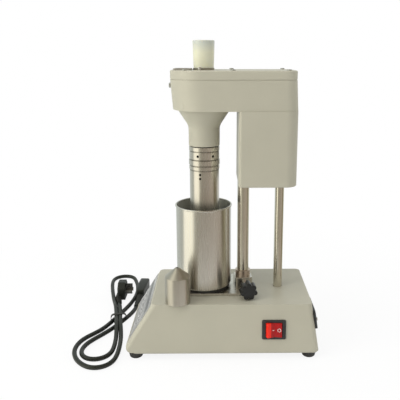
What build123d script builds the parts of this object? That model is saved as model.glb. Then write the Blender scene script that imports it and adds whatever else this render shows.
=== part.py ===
"""Six-speed direct-indicating rotational viscometer with its stage, cup and mains lead."""

import os
from math import asin, atan2, cos, degrees, pi, radians, sin, sqrt

from build123d import *

os.makedirs("parts", exist_ok=True)

# Clearances
SLIP = 0.3                      # gap between pieces that move past each other
RUN = 0.05                      # radial running clearance of a shaft in its bore

# Base
base_length = 268.5
base_width = 145.0
foot_height = 9.0
plate_thickness = 2.0
cover_height = 68.0
front_setback = 36.75           # how far the sloped front panel leans back
rear_setback = 10.55
side_setback = 7.25
lip_height = 9.0                # upright lip below the sloped panel
cover_wall = 2.0
plate_inset = 1.2
flange_width = 14.0             # return flange round the open underside
foot_fold = 8.0                 # outer radii of the casing's folds
panel_fold = 14.0
top_fold = 3.0
casing_corner = 7.0
foot_radius = 10.5
foot_taper = 1.5
foot_inset = 12.8
screw_radius = 2.0

# Columns and stage
rotor_x = -24.9                 # measuring axis, from the middle of the base
front_column_offset = 55.4      # columns behind the measuring axis
rear_column_offset = 107.2
front_column_radius = 8.5
rear_column_radius = 6.55
column_depth = 25.0             # how deep the columns sit below the base top
column_height = 159.9           # free height from the base top to the motor box
stage_half_width = 37.2
stage_front = 40.0              # stage reaches this far in front of the measuring axis
stage_rear = 10.6               # and this far behind the front column
stage_thickness = 3.2
clamp_width = 25.0
clamp_height = 13.7
clamp_turn = 7.0                # degrees that the clamp stands turned on the column
collar_height = 9.2
collar_radius = 10.9
knob_radius = 12.3
knob_thickness = 14.0
knob_lobes = 7
knob_stand_off = 41.0           # inner face of the knob from the column axis
knob_rise = 9.5                 # clamp screw above the stage
clamp_screw_radius = 3.0

# Cup
mat_thickness = 3.8
cup_radius = 39.5
cup_height = 119.0
cup_wall = 1.0
cup_bead = 1.3
cup_shift = -1.6                # the loose cup stands a little in front of the axis
mat_radius = 37.0

# Rotor, bob and spindle
sleeve_radius = 20.8
sleeve_bore = 18.415
sleeve_below_line = 58.4        # sleeve below its lower row of holes
line_drop = 9.6                 # that row below the coupling ring
line_pitch = 5.7
line_hole = 3.3
ring_hole = 3.6
ring_radius = 21.5
ring_gap = 1.2                  # between the neck and the coupling ring
ring_height = 34.0
bob_radius = 17.245
bob_height = 38.0
bob_cone = 12.0
bob_inset = 4.0                 # bob above the sleeve's lower end
bob_shaft_radius = 3.0
spindle_radius = 10.0
spindle_bore = 6.5
spindle_bearing_radius = 16.0
spindle_bearing_width = 7.0
shaft_bearing_width = 5.0

# Neck, motor box and head
neck_radius = 21.8
neck_height = 27.5
flare_radius = 36.8
flare_height = 23.0
motor_box_height = 102.0
motor_box_front = 46.8          # from the measuring axis
motor_box_rear = 126.4
motor_box_wall = 2.5
motor_box_floor = 3.0
head_radius = 46.0
head_height = 40.85
head_wall = 3.0
head_rear_radius = 16.0
head_front_draft = 3.4
head_side_draft = 1.0
lid_height = 11.95
lid_wall = 2.5
seam_break = 0.6                # shadow gap round the joint of lid and head

# Drive
belt_pitch = 3.0
belt_teeth = 89
driven_teeth = 40
drive_teeth = 20
belt_width = 9.0
belt_back = 1.2
belt_tooth = 1.1
belt_height = 4.5               # belt above the head floor
flange_rim = 1.6
pulley_flange = 1.2
motor_size = 56.4
motor_height = 56.0
motor_shaft_radius = 3.2
motor_boss_radius = 19.0

# Dial, spring and cap
dial_radius = 36.0
dial_thickness = 1.5
dial_gap = 5.2                  # dial face below the underside of the lid
window_offset = 28.5            # window in front of the measuring axis
window_length = 17.0
window_width = 28.0
bezel_rim = 4.0
bezel_height = 2.2
glass_thickness = 1.5
seat_radius = 14.6
seat_height = 2.9
cap_height = 36.4
cap_foot_radius = 13.8
cap_top_radius = 14.9
cap_wall = 1.6
tube_radius = 11.4
tube_wall = 1.2
tube_height = 30.0
spring_radius = 6.5
spring_wire = 1.0
spring_pitch = 2.4
spring_turns = 8

# Switch and inlet
switch_inset = 63.35            # from the rear edge of the casing
switch_rise = 32.5              # above the lower edge of the casing
bezel_length = 33.0
bezel_depth = 27.6
bezel_thickness = 2.2
rocker_radius = 11.3
rocker_width = 19.8
rocker_tilt = 9.0
switch_body_depth = 22.0
inlet_inset = 32.5              # from the near edge of the casing
inlet_rise = 43.0
inlet_flange_width = 50.0
inlet_flange_height = 28.0
inlet_flange_thickness = 3.0
inlet_body_width = 27.0
inlet_body_height = 20.0
inlet_depth = 26.0
socket_depth = 17.0
inlet_screw_reach = 20.0
inlet_screw_radius = 1.6

# Keypad
keypad_width = 122.0
keypad_length = 58.0
keypad_thickness = 0.6
keypad_drop = 5.0               # below the top fold of the panel
key_radius = 5.5
key_rise = 0.5
key_pitch = 16.2
key_row = -6.0
slot_row = -20.0
slot_reach = 32.0
slot_length = 26.0
slot_width = 9.0

# Mains lead
cord_radius = 3.25

# Derived heights
cover_bottom = foot_height + plate_thickness
base_top = cover_bottom + cover_height
stage_bottom = base_top + SLIP
stage_top = stage_bottom + stage_thickness
cup_bottom = stage_top + mat_thickness
motor_box_bottom = base_top + column_height
head_bottom = motor_box_bottom + motor_box_height
head_floor_top = head_bottom + head_wall
seam = head_bottom + head_height
lid_top = seam + lid_height
neck_bottom = head_bottom - flare_height - neck_height
front_column_x = rotor_x + front_column_offset
rear_column_x = rotor_x + rear_column_offset
ring_top = neck_bottom - ring_gap
ring_bottom = ring_top - ring_height
line_height = ring_bottom - line_drop
switch_x = base_length / 2 - switch_inset
inlet_y = inlet_inset - base_width / 2
base_front = -base_length / 2
base_rear = base_length / 2


def upright(x, y=0.0):
    """Sketch plane whose local x is +X and local y is +Z, through (x, y)."""
    return Plane(origin=(x, y, 0), x_dir=(1, 0, 0), z_dir=(0, -1, 0))


def turned(outline, x, y=0.0):
    """Solid of revolution about the vertical axis through (x, y); points are (radius, height)."""
    with BuildPart() as body:
        with BuildSketch(upright(x, y)):
            with BuildLine():
                Polyline(*outline, close=True)
            make_face()
        revolve(axis=Axis((x, y, 0), (0, 0, 1)))
    return body.part


def disc(x, y, radius, low, high, bore=0.0):
    """Upright disc or ring."""
    with BuildPart() as body:
        with BuildSketch(Plane.XY.offset(low)):
            with Locations((x, y)):
                Circle(radius)
                if bore:
                    Circle(bore, mode=Mode.SUBTRACT)
        extrude(amount=high - low)
    return body.part


def save(part, name):
    part.label = name
    export_step(part, f"parts/{name}.step")


# ---------------------------------------------------------------- base casing


def front_at(z):
    """Front panel of the casing, carried on down to the plate as a plane."""
    slope = front_setback / (cover_height - lip_height)
    return base_front + front_setback - (base_top - z) * slope


def rear_at(z):
    return base_rear - rear_setback * (z - cover_bottom) / cover_height


def side_at(z):
    return base_width / 2 - side_setback * (z - cover_bottom) / cover_height


def casing(wall, low, high):
    """Raked casing solid, set in by a wall, with softened folds along its length."""
    with BuildPart() as body:
        for z in (low, high):
            front, rear, side = front_at(z) + wall, rear_at(z) - wall, side_at(z) - wall
            with BuildSketch(Plane.XY.offset(z)):
                with Locations(((front + rear) / 2, 0)):
                    RectangleRounded(rear - front, 2 * side, casing_corner - wall)
        loft()
        with BuildSketch(upright(0, base_width)) as outline:
            with BuildLine():
                Polyline(
                    (base_front + wall, low),
                    (base_front + wall, cover_bottom + lip_height),
                    (front_at(high) + wall, high),
                    (rear_at(high) - wall, high),
                    (rear_at(low) - wall, low),
                    close=True,
                )
            make_face()
            lip = outline.vertices().group_by(Axis.X)[0].sort_by(Axis.Y)
            top = outline.vertices().group_by(Axis.Y)[-1]
            fillet(lip[0], foot_fold - wall)
            fillet(lip[1], panel_fold - wall)
            fillet(top, top_fold - wall)
        extrude(amount=2 * base_width, mode=Mode.INTERSECT)
    return body.part


near_slope = atan2(side_setback, cover_height)
rear_slope = atan2(rear_setback, cover_height)
panel_slope = atan2(front_setback, cover_height - lip_height)

switch_z = cover_bottom + switch_rise
switch_face = Plane(
    origin=(switch_x, -side_at(switch_z), switch_z),
    x_dir=(1, 0, 0),
    z_dir=(0, -cos(near_slope), sin(near_slope)),
)
inlet_z = cover_bottom + inlet_rise
inlet_face = Plane(
    origin=(rear_at(inlet_z), inlet_y, inlet_z),
    x_dir=(0, 1, 0),
    z_dir=(cos(rear_slope), 0, sin(rear_slope)),
)
keypad_mid = base_top - (keypad_drop + keypad_length / 2) * cos(panel_slope)
panel_face = Plane(
    origin=(front_at(keypad_mid), 0, keypad_mid),
    x_dir=(0, -1, 0),
    z_dir=(-cos(panel_slope), 0, sin(panel_slope)),
)

columns = ((front_column_x, front_column_radius), (rear_column_x, rear_column_radius))
foot_spots = [
    (sx * (base_length / 2 - foot_inset), sy * (base_width / 2 - foot_inset))
    for sx in (-1, 1)
    for sy in (-1, 1)
]
plate_screw_spots = [
    (x, sy * (base_width / 2 - plate_inset - flange_width / 2))
    for x in (-base_length / 5, base_length / 4)
    for sy in (-1, 1)
]

window_front = base_front + flange_width + lip_height
window_rear = base_rear - flange_width
window_side = base_width / 2 - flange_width
block_front = front_column_x - front_column_radius - 10
block_rear = rear_column_x + rear_column_radius + 18
block_gap = 4.5                  # between the block and the inlet's body
block_half = base_width / 2 - inlet_inset - inlet_body_width / 2 - block_gap
block_leg = 12.0
block_deck = 8.0
block_top = base_top - cover_wall
boss_wall = 5.0
column_end = base_top - column_depth
boss_floor = 8.0
block_screw_spots = [
    (x, sy * (block_half - 8))
    for x in (block_front + block_leg / 2, block_rear - block_leg / 2)
    for sy in (-1, 1)
]

outer = casing(0, cover_bottom, base_top)
cavity = casing(cover_wall, cover_bottom + cover_wall, base_top - cover_wall)
cut = 0.4                       # room round a piece set into the sheet
with BuildPart() as base_cover:
    add(outer)
    add(cavity, mode=Mode.SUBTRACT)
    with BuildSketch(Plane.XY.offset(cover_bottom)):
        with Locations(((window_front + window_rear) / 2, 0)):
            RectangleRounded(window_rear - window_front, 2 * window_side, 4)
    extrude(amount=cover_wall, mode=Mode.SUBTRACT)
    with BuildSketch(Plane.XY.offset(base_top)):
        for x, radius in columns:
            with Locations((x, 0)):
                Circle(radius + SLIP)
    extrude(amount=-2 * cover_wall, mode=Mode.SUBTRACT)
    with BuildSketch(switch_face):
        Rectangle(2 * (rocker_radius + SLIP) + 5 + cut, rocker_width + 2 * SLIP + 3 + cut)
    extrude(amount=-2 * cover_wall, both=True, mode=Mode.SUBTRACT)
    with BuildSketch(inlet_face):
        Rectangle(inlet_body_width + cut, inlet_body_height + cut)
        with Locations((-inlet_screw_reach, 0), (inlet_screw_reach, 0)):
            Circle(inlet_screw_radius)
    extrude(amount=-2 * cover_wall, both=True, mode=Mode.SUBTRACT)
    with BuildSketch(Plane.XY.offset(cover_bottom)):
        with Locations(*foot_spots, *plate_screw_spots):
            Circle(screw_radius)
    extrude(amount=cover_wall, mode=Mode.SUBTRACT)
save(base_cover.part, "base_cover")

plate_front = base_front + foot_fold
plate_rear = base_rear - plate_inset
vent_count = 7
vent_pitch = 9.0
vent_length = 44.0
vent_width = 3.0
with BuildPart() as base_plate:
    with BuildSketch(Plane.XY.offset(foot_height)):
        with Locations(((plate_front + plate_rear) / 2, 0)):
            RectangleRounded(plate_rear - plate_front, base_width - 2 * plate_inset, casing_corner)
        with Locations(*foot_spots, *plate_screw_spots, *block_screw_spots):
            Circle(screw_radius, mode=Mode.SUBTRACT)
        with Locations((-base_length / 6, 0)):
            with GridLocations(vent_pitch, 0, vent_count, 1):
                SlotOverall(vent_length, vent_width, rotation=90, mode=Mode.SUBTRACT)
    extrude(amount=plate_thickness)
save(base_plate.part, "base_plate")

with BuildPart() as feet:
    for x, y in foot_spots:
        add(turned(
            [
                (screw_radius, 3.0),
                (screw_radius + 2.5, 3.0),
                (screw_radius + 2.5, 0),
                (foot_radius - foot_taper - 1, 0),
                (foot_radius - foot_taper, 1),
                (foot_radius, foot_height - 1.5),
                (foot_radius, foot_height),
                (screw_radius, foot_height),
            ], x, y))
save(feet.part, "feet")


def screws(spots, head_radius, head, top, length, radius, down=True, socket=0.0):
    """Screws at a list of spots; top is the bearing face, the head lies on the far side of it."""
    sign = 1 if down else -1
    with BuildPart() as group:
        for x, y in spots:
            with BuildSketch(Plane.XY.offset(top)):
                with Locations((x, y)):
                    Circle(head_radius)
            extrude(amount=sign * head)
            if socket:
                with BuildSketch(Plane.XY.offset(top + sign * head)):
                    with Locations((x, y)):
                        RegularPolygon(socket, 6)
                extrude(amount=-sign * head / 2, mode=Mode.SUBTRACT)
            with BuildSketch(Plane.XY.offset(top)):
                with Locations((x, y)):
                    Circle(radius)
            extrude(amount=-sign * length)
    return group.part


nut_height = 3.0
plate_screw_length = 8.0
foot_grip = screws(foot_spots, screw_radius + 2, 2.2, 3.0, 13.0, screw_radius, down=False)
with BuildPart() as foot_screws:
    add(foot_grip)
    with BuildSketch(Plane.XY.offset(cover_bottom + cover_wall)):
        with Locations(*foot_spots):
            RegularPolygon(2 * screw_radius, 6)
            Circle(screw_radius, mode=Mode.SUBTRACT)
    extrude(amount=nut_height)
save(foot_screws.part, "foot_screws")

under_screws = screws(
    plate_screw_spots + block_screw_spots, screw_radius + 1.6, 2.0, foot_height,
    plate_screw_length, screw_radius, down=False)
save(under_screws, "plate_screws")

# ---------------------------------------------------------------- keypad

key_columns = [(k - 2.5) * key_pitch for k in range(6)]
with BuildPart() as keypad_overlay:
    with BuildSketch(panel_face):
        RectangleRounded(keypad_width, keypad_length, 4)
    extrude(amount=keypad_thickness)
    with BuildSketch(panel_face.offset(keypad_thickness)):
        for column in key_columns:
            with Locations((column, key_row)):
                Circle(key_radius)
        with Locations((-slot_reach, slot_row), (slot_reach, slot_row)):
            SlotOverall(slot_length, slot_width)
    extrude(amount=key_rise, taper=20)
save(keypad_overlay.part, "keypad_overlay")

# ---------------------------------------------------------------- switch

rocker_hole = 2 * (rocker_radius + SLIP)
rocker_slot = rocker_width + 2 * SLIP
pin_radius = 1.5
with BuildPart() as switch_housing:
    with BuildSketch(switch_face):
        RectangleRounded(bezel_length, bezel_depth, 2)
    extrude(amount=bezel_thickness)
    chamfer(switch_housing.faces().sort_by(Axis(switch_face.origin, switch_face.z_dir))[-1].edges(), 0.8)
    with BuildSketch(switch_face):
        Rectangle(rocker_hole + 5, rocker_slot + 3)
    extrude(amount=-switch_body_depth)
    with BuildSketch(switch_face.offset(bezel_thickness)):
        Rectangle(rocker_hole, rocker_slot)
    extrude(amount=-(bezel_thickness + rocker_radius + 1), mode=Mode.SUBTRACT)
    with BuildSketch(Plane(origin=switch_face.origin, x_dir=switch_face.x_dir, z_dir=switch_face.y_dir)):
        Circle(pin_radius + RUN)
    extrude(amount=rocker_slot / 2 + 1, both=True, mode=Mode.SUBTRACT)
    for spot in (-7, 0, 7):
        with BuildSketch(switch_face.offset(-switch_body_depth)):
            with Locations((spot, 0)):
                Rectangle(0.8, 6.3)
        extrude(amount=-8)
save(switch_housing.part, "switch_housing")

tilt = radians(rocker_tilt)
rocker_plane = Plane(
    origin=switch_face.origin,
    x_dir=switch_face.x_dir * cos(tilt) - switch_face.z_dir * sin(tilt),
    z_dir=-switch_face.y_dir,
)
rocker_mid = 3.0
rocker_end = 6.2
with BuildPart() as switch_rocker:
    with BuildSketch(rocker_plane) as rocker_profile:
        Circle(rocker_radius)
        with BuildLine():
            Polyline(
                (-2 * rocker_radius, -6),
                (2 * rocker_radius, -6),
                (2 * rocker_radius, rocker_end + 3.5),
                (0, rocker_mid),
                (-2 * rocker_radius, rocker_end + 3.5),
                close=True,
            )
        make_face(mode=Mode.INTERSECT)
    extrude(amount=rocker_width / 2, both=True)
    with BuildSketch(rocker_plane):
        Circle(pin_radius)
    extrude(amount=rocker_width / 2 + 1, both=True)
save(switch_rocker.part, "switch_rocker")

# ---------------------------------------------------------------- mains inlet

socket_width = inlet_body_width - 3
socket_height = inlet_body_height - 3.5
blade_spots = ((-7, -2), (0, 2), (7, -2))
with BuildPart() as inlet_housing:
    with BuildSketch(inlet_face):
        RectangleRounded(inlet_flange_width, inlet_flange_height, 5)
    extrude(amount=inlet_flange_thickness)
    with BuildSketch(inlet_face):
        Rectangle(inlet_body_width, inlet_body_height)
    extrude(amount=-inlet_depth)
    with BuildSketch(inlet_face.offset(inlet_flange_thickness)) as socket:
        Rectangle(socket_width, socket_height)
        chamfer(socket.vertices().group_by(Axis.Y)[-1], 4)
    extrude(amount=-socket_depth, mode=Mode.SUBTRACT)
    with BuildSketch(inlet_face.offset(inlet_flange_thickness)):
        with Locations((-inlet_screw_reach, 0), (inlet_screw_reach, 0)):
            Circle(inlet_screw_radius)
    extrude(amount=-inlet_flange_thickness, mode=Mode.SUBTRACT)
    with BuildSketch(inlet_face.offset(-inlet_depth)):
        with Locations(*blade_spots):
            Rectangle(2, 4)
    extrude(amount=inlet_depth, mode=Mode.SUBTRACT)
save(inlet_housing.part, "inlet_housing")

with BuildPart() as inlet_pins:
    with BuildSketch(inlet_face.offset(-inlet_depth - 8)):
        with Locations(*blade_spots):
            Rectangle(2, 4)
    extrude(amount=inlet_depth + 8)
save(inlet_pins.part, "inlet_pins")

with BuildPart() as inlet_screws:
    with BuildSketch(inlet_face.offset(inlet_flange_thickness)):
        with Locations((-inlet_screw_reach, 0), (inlet_screw_reach, 0)):
            Circle(inlet_screw_radius + 1.2)
    extrude(amount=1.6)
    with BuildSketch(inlet_face.offset(inlet_flange_thickness)):
        with Locations((-inlet_screw_reach, 0), (inlet_screw_reach, 0)):
            Circle(inlet_screw_radius)
    extrude(amount=-9)
save(inlet_screws.part, "inlet_screws")

# ---------------------------------------------------------------- columns

column_screw_radius = 3.0
column_screw_length = 22.0
column_screw_head = 6.0
for name, (x, radius) in zip(("front_column", "rear_column"), columns):
    with BuildPart() as column:
        with BuildSketch(Plane.XY.offset(column_end)):
            with Locations((x, 0)):
                Circle(radius)
        extrude(amount=motor_box_bottom - column_end)
        chamfer(column.edges().filter_by(GeomType.CIRCLE), 0.5)
        for z, way in ((column_end, 1), (motor_box_bottom, -1)):
            with BuildSketch(Plane.XY.offset(z)):
                with Locations((x, 0)):
                    Circle(column_screw_radius)
            extrude(amount=way * (column_screw_length - boss_floor + 1), mode=Mode.SUBTRACT)
    save(column.part, name)

with BuildPart() as column_block:
    with BuildSketch(upright(0, block_half)):
        with BuildLine():
            Polyline(
                (block_front, cover_bottom),
                (block_front + block_leg, cover_bottom),
                (block_front + block_leg, block_top - block_deck),
                (block_rear - block_leg, block_top - block_deck),
                (block_rear - block_leg, cover_bottom),
                (block_rear, cover_bottom),
                (block_rear, block_top),
                (block_front, block_top),
                close=True,
            )
        make_face()
    extrude(amount=2 * block_half)
    for x, radius in columns:
        with BuildSketch(Plane.XY.offset(column_end - boss_floor)):
            with Locations((x, 0)):
                Circle(radius + boss_wall)
        extrude(amount=block_top - column_end + boss_floor)
    for x, radius in columns:
        with BuildSketch(Plane.XY.offset(block_top)):
            with Locations((x, 0)):
                Circle(radius)
        extrude(amount=column_end - block_top, mode=Mode.SUBTRACT)
        with BuildSketch(Plane.XY.offset(column_end)):
            with Locations((x, 0)):
                Circle(column_screw_radius)
        extrude(amount=-boss_floor, mode=Mode.SUBTRACT)
    with BuildSketch(Plane.XY.offset(cover_bottom)):
        with Locations(*block_screw_spots):
            Circle(screw_radius)
    extrude(amount=14, mode=Mode.SUBTRACT)
save(column_block.part, "column_block")

column_spots = [(x, 0) for x, radius in columns]
low_screws = screws(
    column_spots, 5, column_screw_head, column_end - boss_floor,
    column_screw_length, column_screw_radius, down=False, socket=2.9)
high_screws = screws(
    column_spots, 5, column_screw_head, motor_box_bottom + motor_box_floor,
    column_screw_length - boss_floor + motor_box_floor, column_screw_radius, socket=2.9)
with BuildPart() as column_screws:
    add(low_screws)
    add(high_screws)
save(column_screws.part, "column_screws")

# ---------------------------------------------------------------- base electrics

core_x = -78.0
core_length = 48.0
core_depth = 42.0
core_height = 40.0
coil_length = 24.0
core_opening = 0.6
with BuildPart() as transformer_core:
    with BuildSketch(Plane.XY.offset(cover_bottom)):
        with Locations((core_x, 0)):
            Rectangle(core_length, core_depth)
    extrude(amount=core_height)
    with BuildSketch(upright(core_x, core_depth)):
        with Locations((-core_length / 4, cover_bottom + core_height / 2)):
            Rectangle(core_length / 6, core_height * core_opening)
        with Locations((core_length / 4, cover_bottom + core_height / 2)):
            Rectangle(core_length / 6, core_height * core_opening)
    extrude(amount=2 * core_depth, mode=Mode.SUBTRACT)
with BuildPart() as transformer_coil:
    with BuildSketch(upright(core_x, core_depth / 2 + 7)):
        with Locations((0, cover_bottom + core_height / 2)):
            Rectangle(core_length / 2 + core_length / 6, core_height * core_opening)
    extrude(amount=core_depth + 14)
    with BuildSketch(upright(core_x, core_depth)):
        with Locations((0, cover_bottom + core_height / 2)):
            Rectangle(core_length / 2 - core_length / 6, core_height * core_opening)
    extrude(amount=2 * core_depth, mode=Mode.SUBTRACT)
transformer = Compound(children=[transformer_core.part.solid(), *transformer_coil.part.solids()])
save(transformer, "transformer")

board_x = 40.0
board_inset = 31.5
board_y = base_width / 2 - board_inset
board_length = 110.0
board_width = 34.0
board_rise = 9.0
relay_size = 18.0
relay_reach = 30.0
chip_length = 22.0
chip_width = 12.0
can_radius = 5.0
can_reaches = (24.0, 38.0)
board_holes = [
    (board_x + sx * (board_length / 2 - 5), board_y + sy * (board_width / 2 - 5))
    for sx in (-1, 1)
    for sy in (-1, 1)
]
board_bottom = cover_bottom + board_rise
with BuildPart() as control_board:
    with BuildSketch(Plane.XY.offset(board_bottom)):
        with Locations((board_x, board_y)):
            Rectangle(board_length, board_width)
        with Locations(*board_holes):
            Circle(1.5, mode=Mode.SUBTRACT)
    extrude(amount=1.6)
    with BuildSketch(Plane.XY.offset(board_bottom + 1.6)):
        with Locations((board_x - relay_reach, board_y)):
            Rectangle(relay_size, relay_size)
        with Locations((board_x + 2, board_y + 5)):
            Rectangle(chip_length, chip_width)
    extrude(amount=3)
    with BuildSketch(Plane.XY.offset(board_bottom + 1.6)):
        with Locations(*[(board_x + reach, board_y - 4) for reach in can_reaches]):
            Circle(can_radius)
    extrude(amount=16)
save(control_board.part, "control_board")

with BuildPart() as board_standoffs:
    for x, y in board_holes:
        add(turned(
            [
                (0, cover_bottom),
                (3, cover_bottom),
                (3, board_bottom),
                (1.5, board_bottom),
                (1.5, board_bottom + 1.6),
                (2.8, board_bottom + 1.6),
                (2.8, board_bottom + 3.2),
                (0, board_bottom + 3.2),
            ], x, y))
save(board_standoffs.part, "board_standoffs")

# ---------------------------------------------------------------- stage

column_slide = front_column_radius + RUN
stage_front_x = rotor_x - stage_front
stage_rear_x = front_column_x + stage_rear
with BuildPart() as stage_plate:
    with BuildSketch(Plane.XY.offset(stage_bottom)):
        with Locations(((stage_front_x + stage_rear_x) / 2, 0)):
            RectangleRounded(stage_rear_x - stage_front_x, 2 * stage_half_width, 5)
        with Locations((front_column_x, 0)):
            Circle(column_slide, mode=Mode.SUBTRACT)
    extrude(amount=stage_thickness)
    chamfer(stage_plate.faces().sort_by(Axis.Z)[-1].outer_wire().edges(), 0.5)
save(stage_plate.part, "stage_plate")

turn = radians(clamp_turn)
screw_way = (sin(turn), -cos(turn), 0)
screw_plane = Plane(
    origin=(front_column_x, 0, stage_top + knob_rise),
    x_dir=(cos(turn), sin(turn), 0),
    z_dir=screw_way,
)
with BuildPart() as clamp_block:
    with BuildSketch(Plane(origin=(front_column_x, 0, stage_top), x_dir=screw_plane.x_dir, z_dir=(0, 0, 1))):
        RectangleRounded(clamp_width, clamp_width, 3)
        Circle(column_slide, mode=Mode.SUBTRACT)
    extrude(amount=clamp_height)
    chamfer(clamp_block.faces().sort_by(Axis.Z)[-1].outer_wire().edges(), 0.6)
    with BuildSketch(screw_plane):
        Circle(clamp_screw_radius + RUN)
    extrude(amount=clamp_width, mode=Mode.SUBTRACT)
save(clamp_block.part, "clamp_block")

clamp_top = stage_top + clamp_height
groove = 0.7
collar_step = collar_height / 6
groove_heights = [clamp_top + step * collar_step for step in (2, 3, 4, 5)]
with BuildPart() as stage_collar:
    add(turned(
        [
            (column_slide, clamp_top),
            (collar_radius, clamp_top),
            (collar_radius, groove_heights[0]),
            (collar_radius - groove, groove_heights[0]),
            (collar_radius - groove, groove_heights[1]),
            (collar_radius, groove_heights[1]),
            (collar_radius, groove_heights[2]),
            (collar_radius - groove, groove_heights[2]),
            (collar_radius - groove, groove_heights[3]),
            (collar_radius, groove_heights[3]),
            (collar_radius, clamp_top + collar_height),
            (column_slide, clamp_top + collar_height),
        ], front_column_x))
save(stage_collar.part, "stage_collar")

with BuildPart() as clamp_screw:
    with BuildSketch(screw_plane.offset(front_column_radius + SLIP)):
        Circle(clamp_screw_radius)
    extrude(amount=knob_stand_off + knob_thickness - 4 - front_column_radius - SLIP)
save(clamp_screw.part, "clamp_screw")

lobe_radius = 3.4
hub_radius = 6.5
hub_length = 6.0
with BuildPart() as clamp_knob:
    with BuildSketch(screw_plane.offset(knob_stand_off)):
        Circle(knob_radius - lobe_radius + 0.6)
        with PolarLocations(knob_radius - lobe_radius, knob_lobes, start_angle=90):
            Circle(lobe_radius)
    extrude(amount=knob_thickness)
    fillet(clamp_knob.faces().sort_by(Axis(screw_plane.origin, screw_plane.z_dir))[-1].edges(), 1.5)
    with BuildSketch(screw_plane.offset(knob_stand_off)):
        Circle(hub_radius)
    extrude(amount=-hub_length)
    with BuildSketch(screw_plane.offset(knob_stand_off - hub_length)):
        Circle(clamp_screw_radius)
    extrude(amount=hub_length + knob_thickness - 4, mode=Mode.SUBTRACT)
save(clamp_knob.part, "clamp_knob")

cup_x = rotor_x + cup_shift
cup_mat = disc(cup_x, 0, mat_radius, stage_top, cup_bottom)
save(cup_mat, "cup_mat")

cup_top = cup_bottom + cup_height
cup_fold = 3.0
with BuildPart() as sample_cup:
    with BuildSketch(upright(cup_x)):
        with BuildLine():
            FilletPolyline(
                (0, cup_bottom),
                (cup_radius, cup_bottom),
                (cup_radius, cup_top - cup_bead),
                radius=cup_fold,
            )
            Line((cup_radius, cup_top - cup_bead), (cup_radius - cup_wall, cup_top - cup_bead))
            FilletPolyline(
                (cup_radius - cup_wall, cup_top - cup_bead),
                (cup_radius - cup_wall, cup_bottom + cup_wall),
                (0, cup_bottom + cup_wall),
                radius=cup_fold - cup_wall,
            )
            Line((0, cup_bottom + cup_wall), (0, cup_bottom))
        make_face()
        with Locations((cup_radius, cup_top - cup_bead)):
            Circle(cup_bead)
    revolve(axis=Axis((cup_x, 0, 0), (0, 0, 1)))
save(sample_cup.part, "sample_cup")

# ---------------------------------------------------------------- measuring bobs


def bob(x, y, bottom, bore):
    """Bob with its upper cone and the blind bore for the shaft."""
    crown = bottom + bob_height + bob_cone
    return turned(
        [
            (0, bottom),
            (bob_radius - 0.8, bottom),
            (bob_radius, bottom + 0.8),
            (bob_radius, bottom + bob_height),
            (bore + 1.2, crown),
            (bore, crown),
            (bore, bottom + bob_height / 2),
            (0, bottom + bob_height / 2),
        ], x, y)


spare_x = rotor_x - 37.0
spare_y = -55.2
save(bob(spare_x, spare_y, base_top, 2.0), "spare_bob")

sleeve_bottom = line_height - sleeve_below_line
bob_bottom = sleeve_bottom + bob_inset
save(bob(rotor_x, 0, bob_bottom, bob_shaft_radius), "measuring_bob")

# ---------------------------------------------------------------- rotor

spigot_radius = sleeve_radius - 1.4
spigot_length = 14.0
ring_cap = 6.0


def down(amount):
    return ring_top - amount * ring_height


with BuildPart() as coupling_ring:
    add(turned(
        [
            (spindle_radius, ring_top),
            (ring_radius - 0.4, ring_top),
            (ring_radius, ring_top - 0.4),
            (ring_radius, down(0.16)),
            (ring_radius - 0.7, down(0.175)),
            (ring_radius - 0.7, down(0.2)),
            (ring_radius - 0.3, down(0.215)),
            (ring_radius - 0.3, down(0.505)),
            (ring_radius - 0.8, down(0.52)),
            (ring_radius - 0.8, down(0.545)),
            (ring_radius + 0.3, down(0.555)),
            (ring_radius + 0.3, down(0.745)),
            (ring_radius - 0.9, down(0.76)),
            (ring_radius - 0.9, down(0.8)),
            (ring_radius - 0.1, down(0.815)),
            (ring_radius - 0.1, down(0.935)),
            (ring_radius - 0.9, down(0.95)),
            (ring_radius - 0.9, ring_bottom),
            (spigot_radius, ring_bottom),
            (spigot_radius, ring_top - ring_cap),
            (spindle_radius, ring_top - ring_cap),
        ], rotor_x))
    for k in range(6):
        turn_at = radians(-114.6 + 60 * k)
        with BuildSketch(Plane(
                origin=(rotor_x, 0, down(0.36)),
                x_dir=(-sin(turn_at), cos(turn_at), 0),
                z_dir=(cos(turn_at), sin(turn_at), 0))):
            Circle(ring_hole / 2)
        extrude(amount=2 * ring_radius, mode=Mode.SUBTRACT)
save(coupling_ring.part, "coupling_ring")

with BuildPart() as rotor_sleeve:
    add(turned(
        [
            (sleeve_bore, sleeve_bottom),
            (sleeve_radius - 0.3, sleeve_bottom),
            (sleeve_radius, sleeve_bottom + 0.3),
            (sleeve_radius, ring_bottom),
            (spigot_radius, ring_bottom),
            (spigot_radius, ring_bottom + spigot_length),
            (sleeve_bore, ring_bottom + spigot_length),
        ], rotor_x))
    for k in range(3):
        turn_at = radians(-106 + 120 * k)
        for height in (line_height, line_height + line_pitch):
            with BuildSketch(Plane(
                    origin=(rotor_x, 0, height),
                    x_dir=(-sin(turn_at), cos(turn_at), 0),
                    z_dir=(cos(turn_at), sin(turn_at), 0))):
                Circle(line_hole / 2)
            extrude(amount=2 * sleeve_radius, mode=Mode.SUBTRACT)
save(rotor_sleeve.part, "rotor_sleeve")

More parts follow.
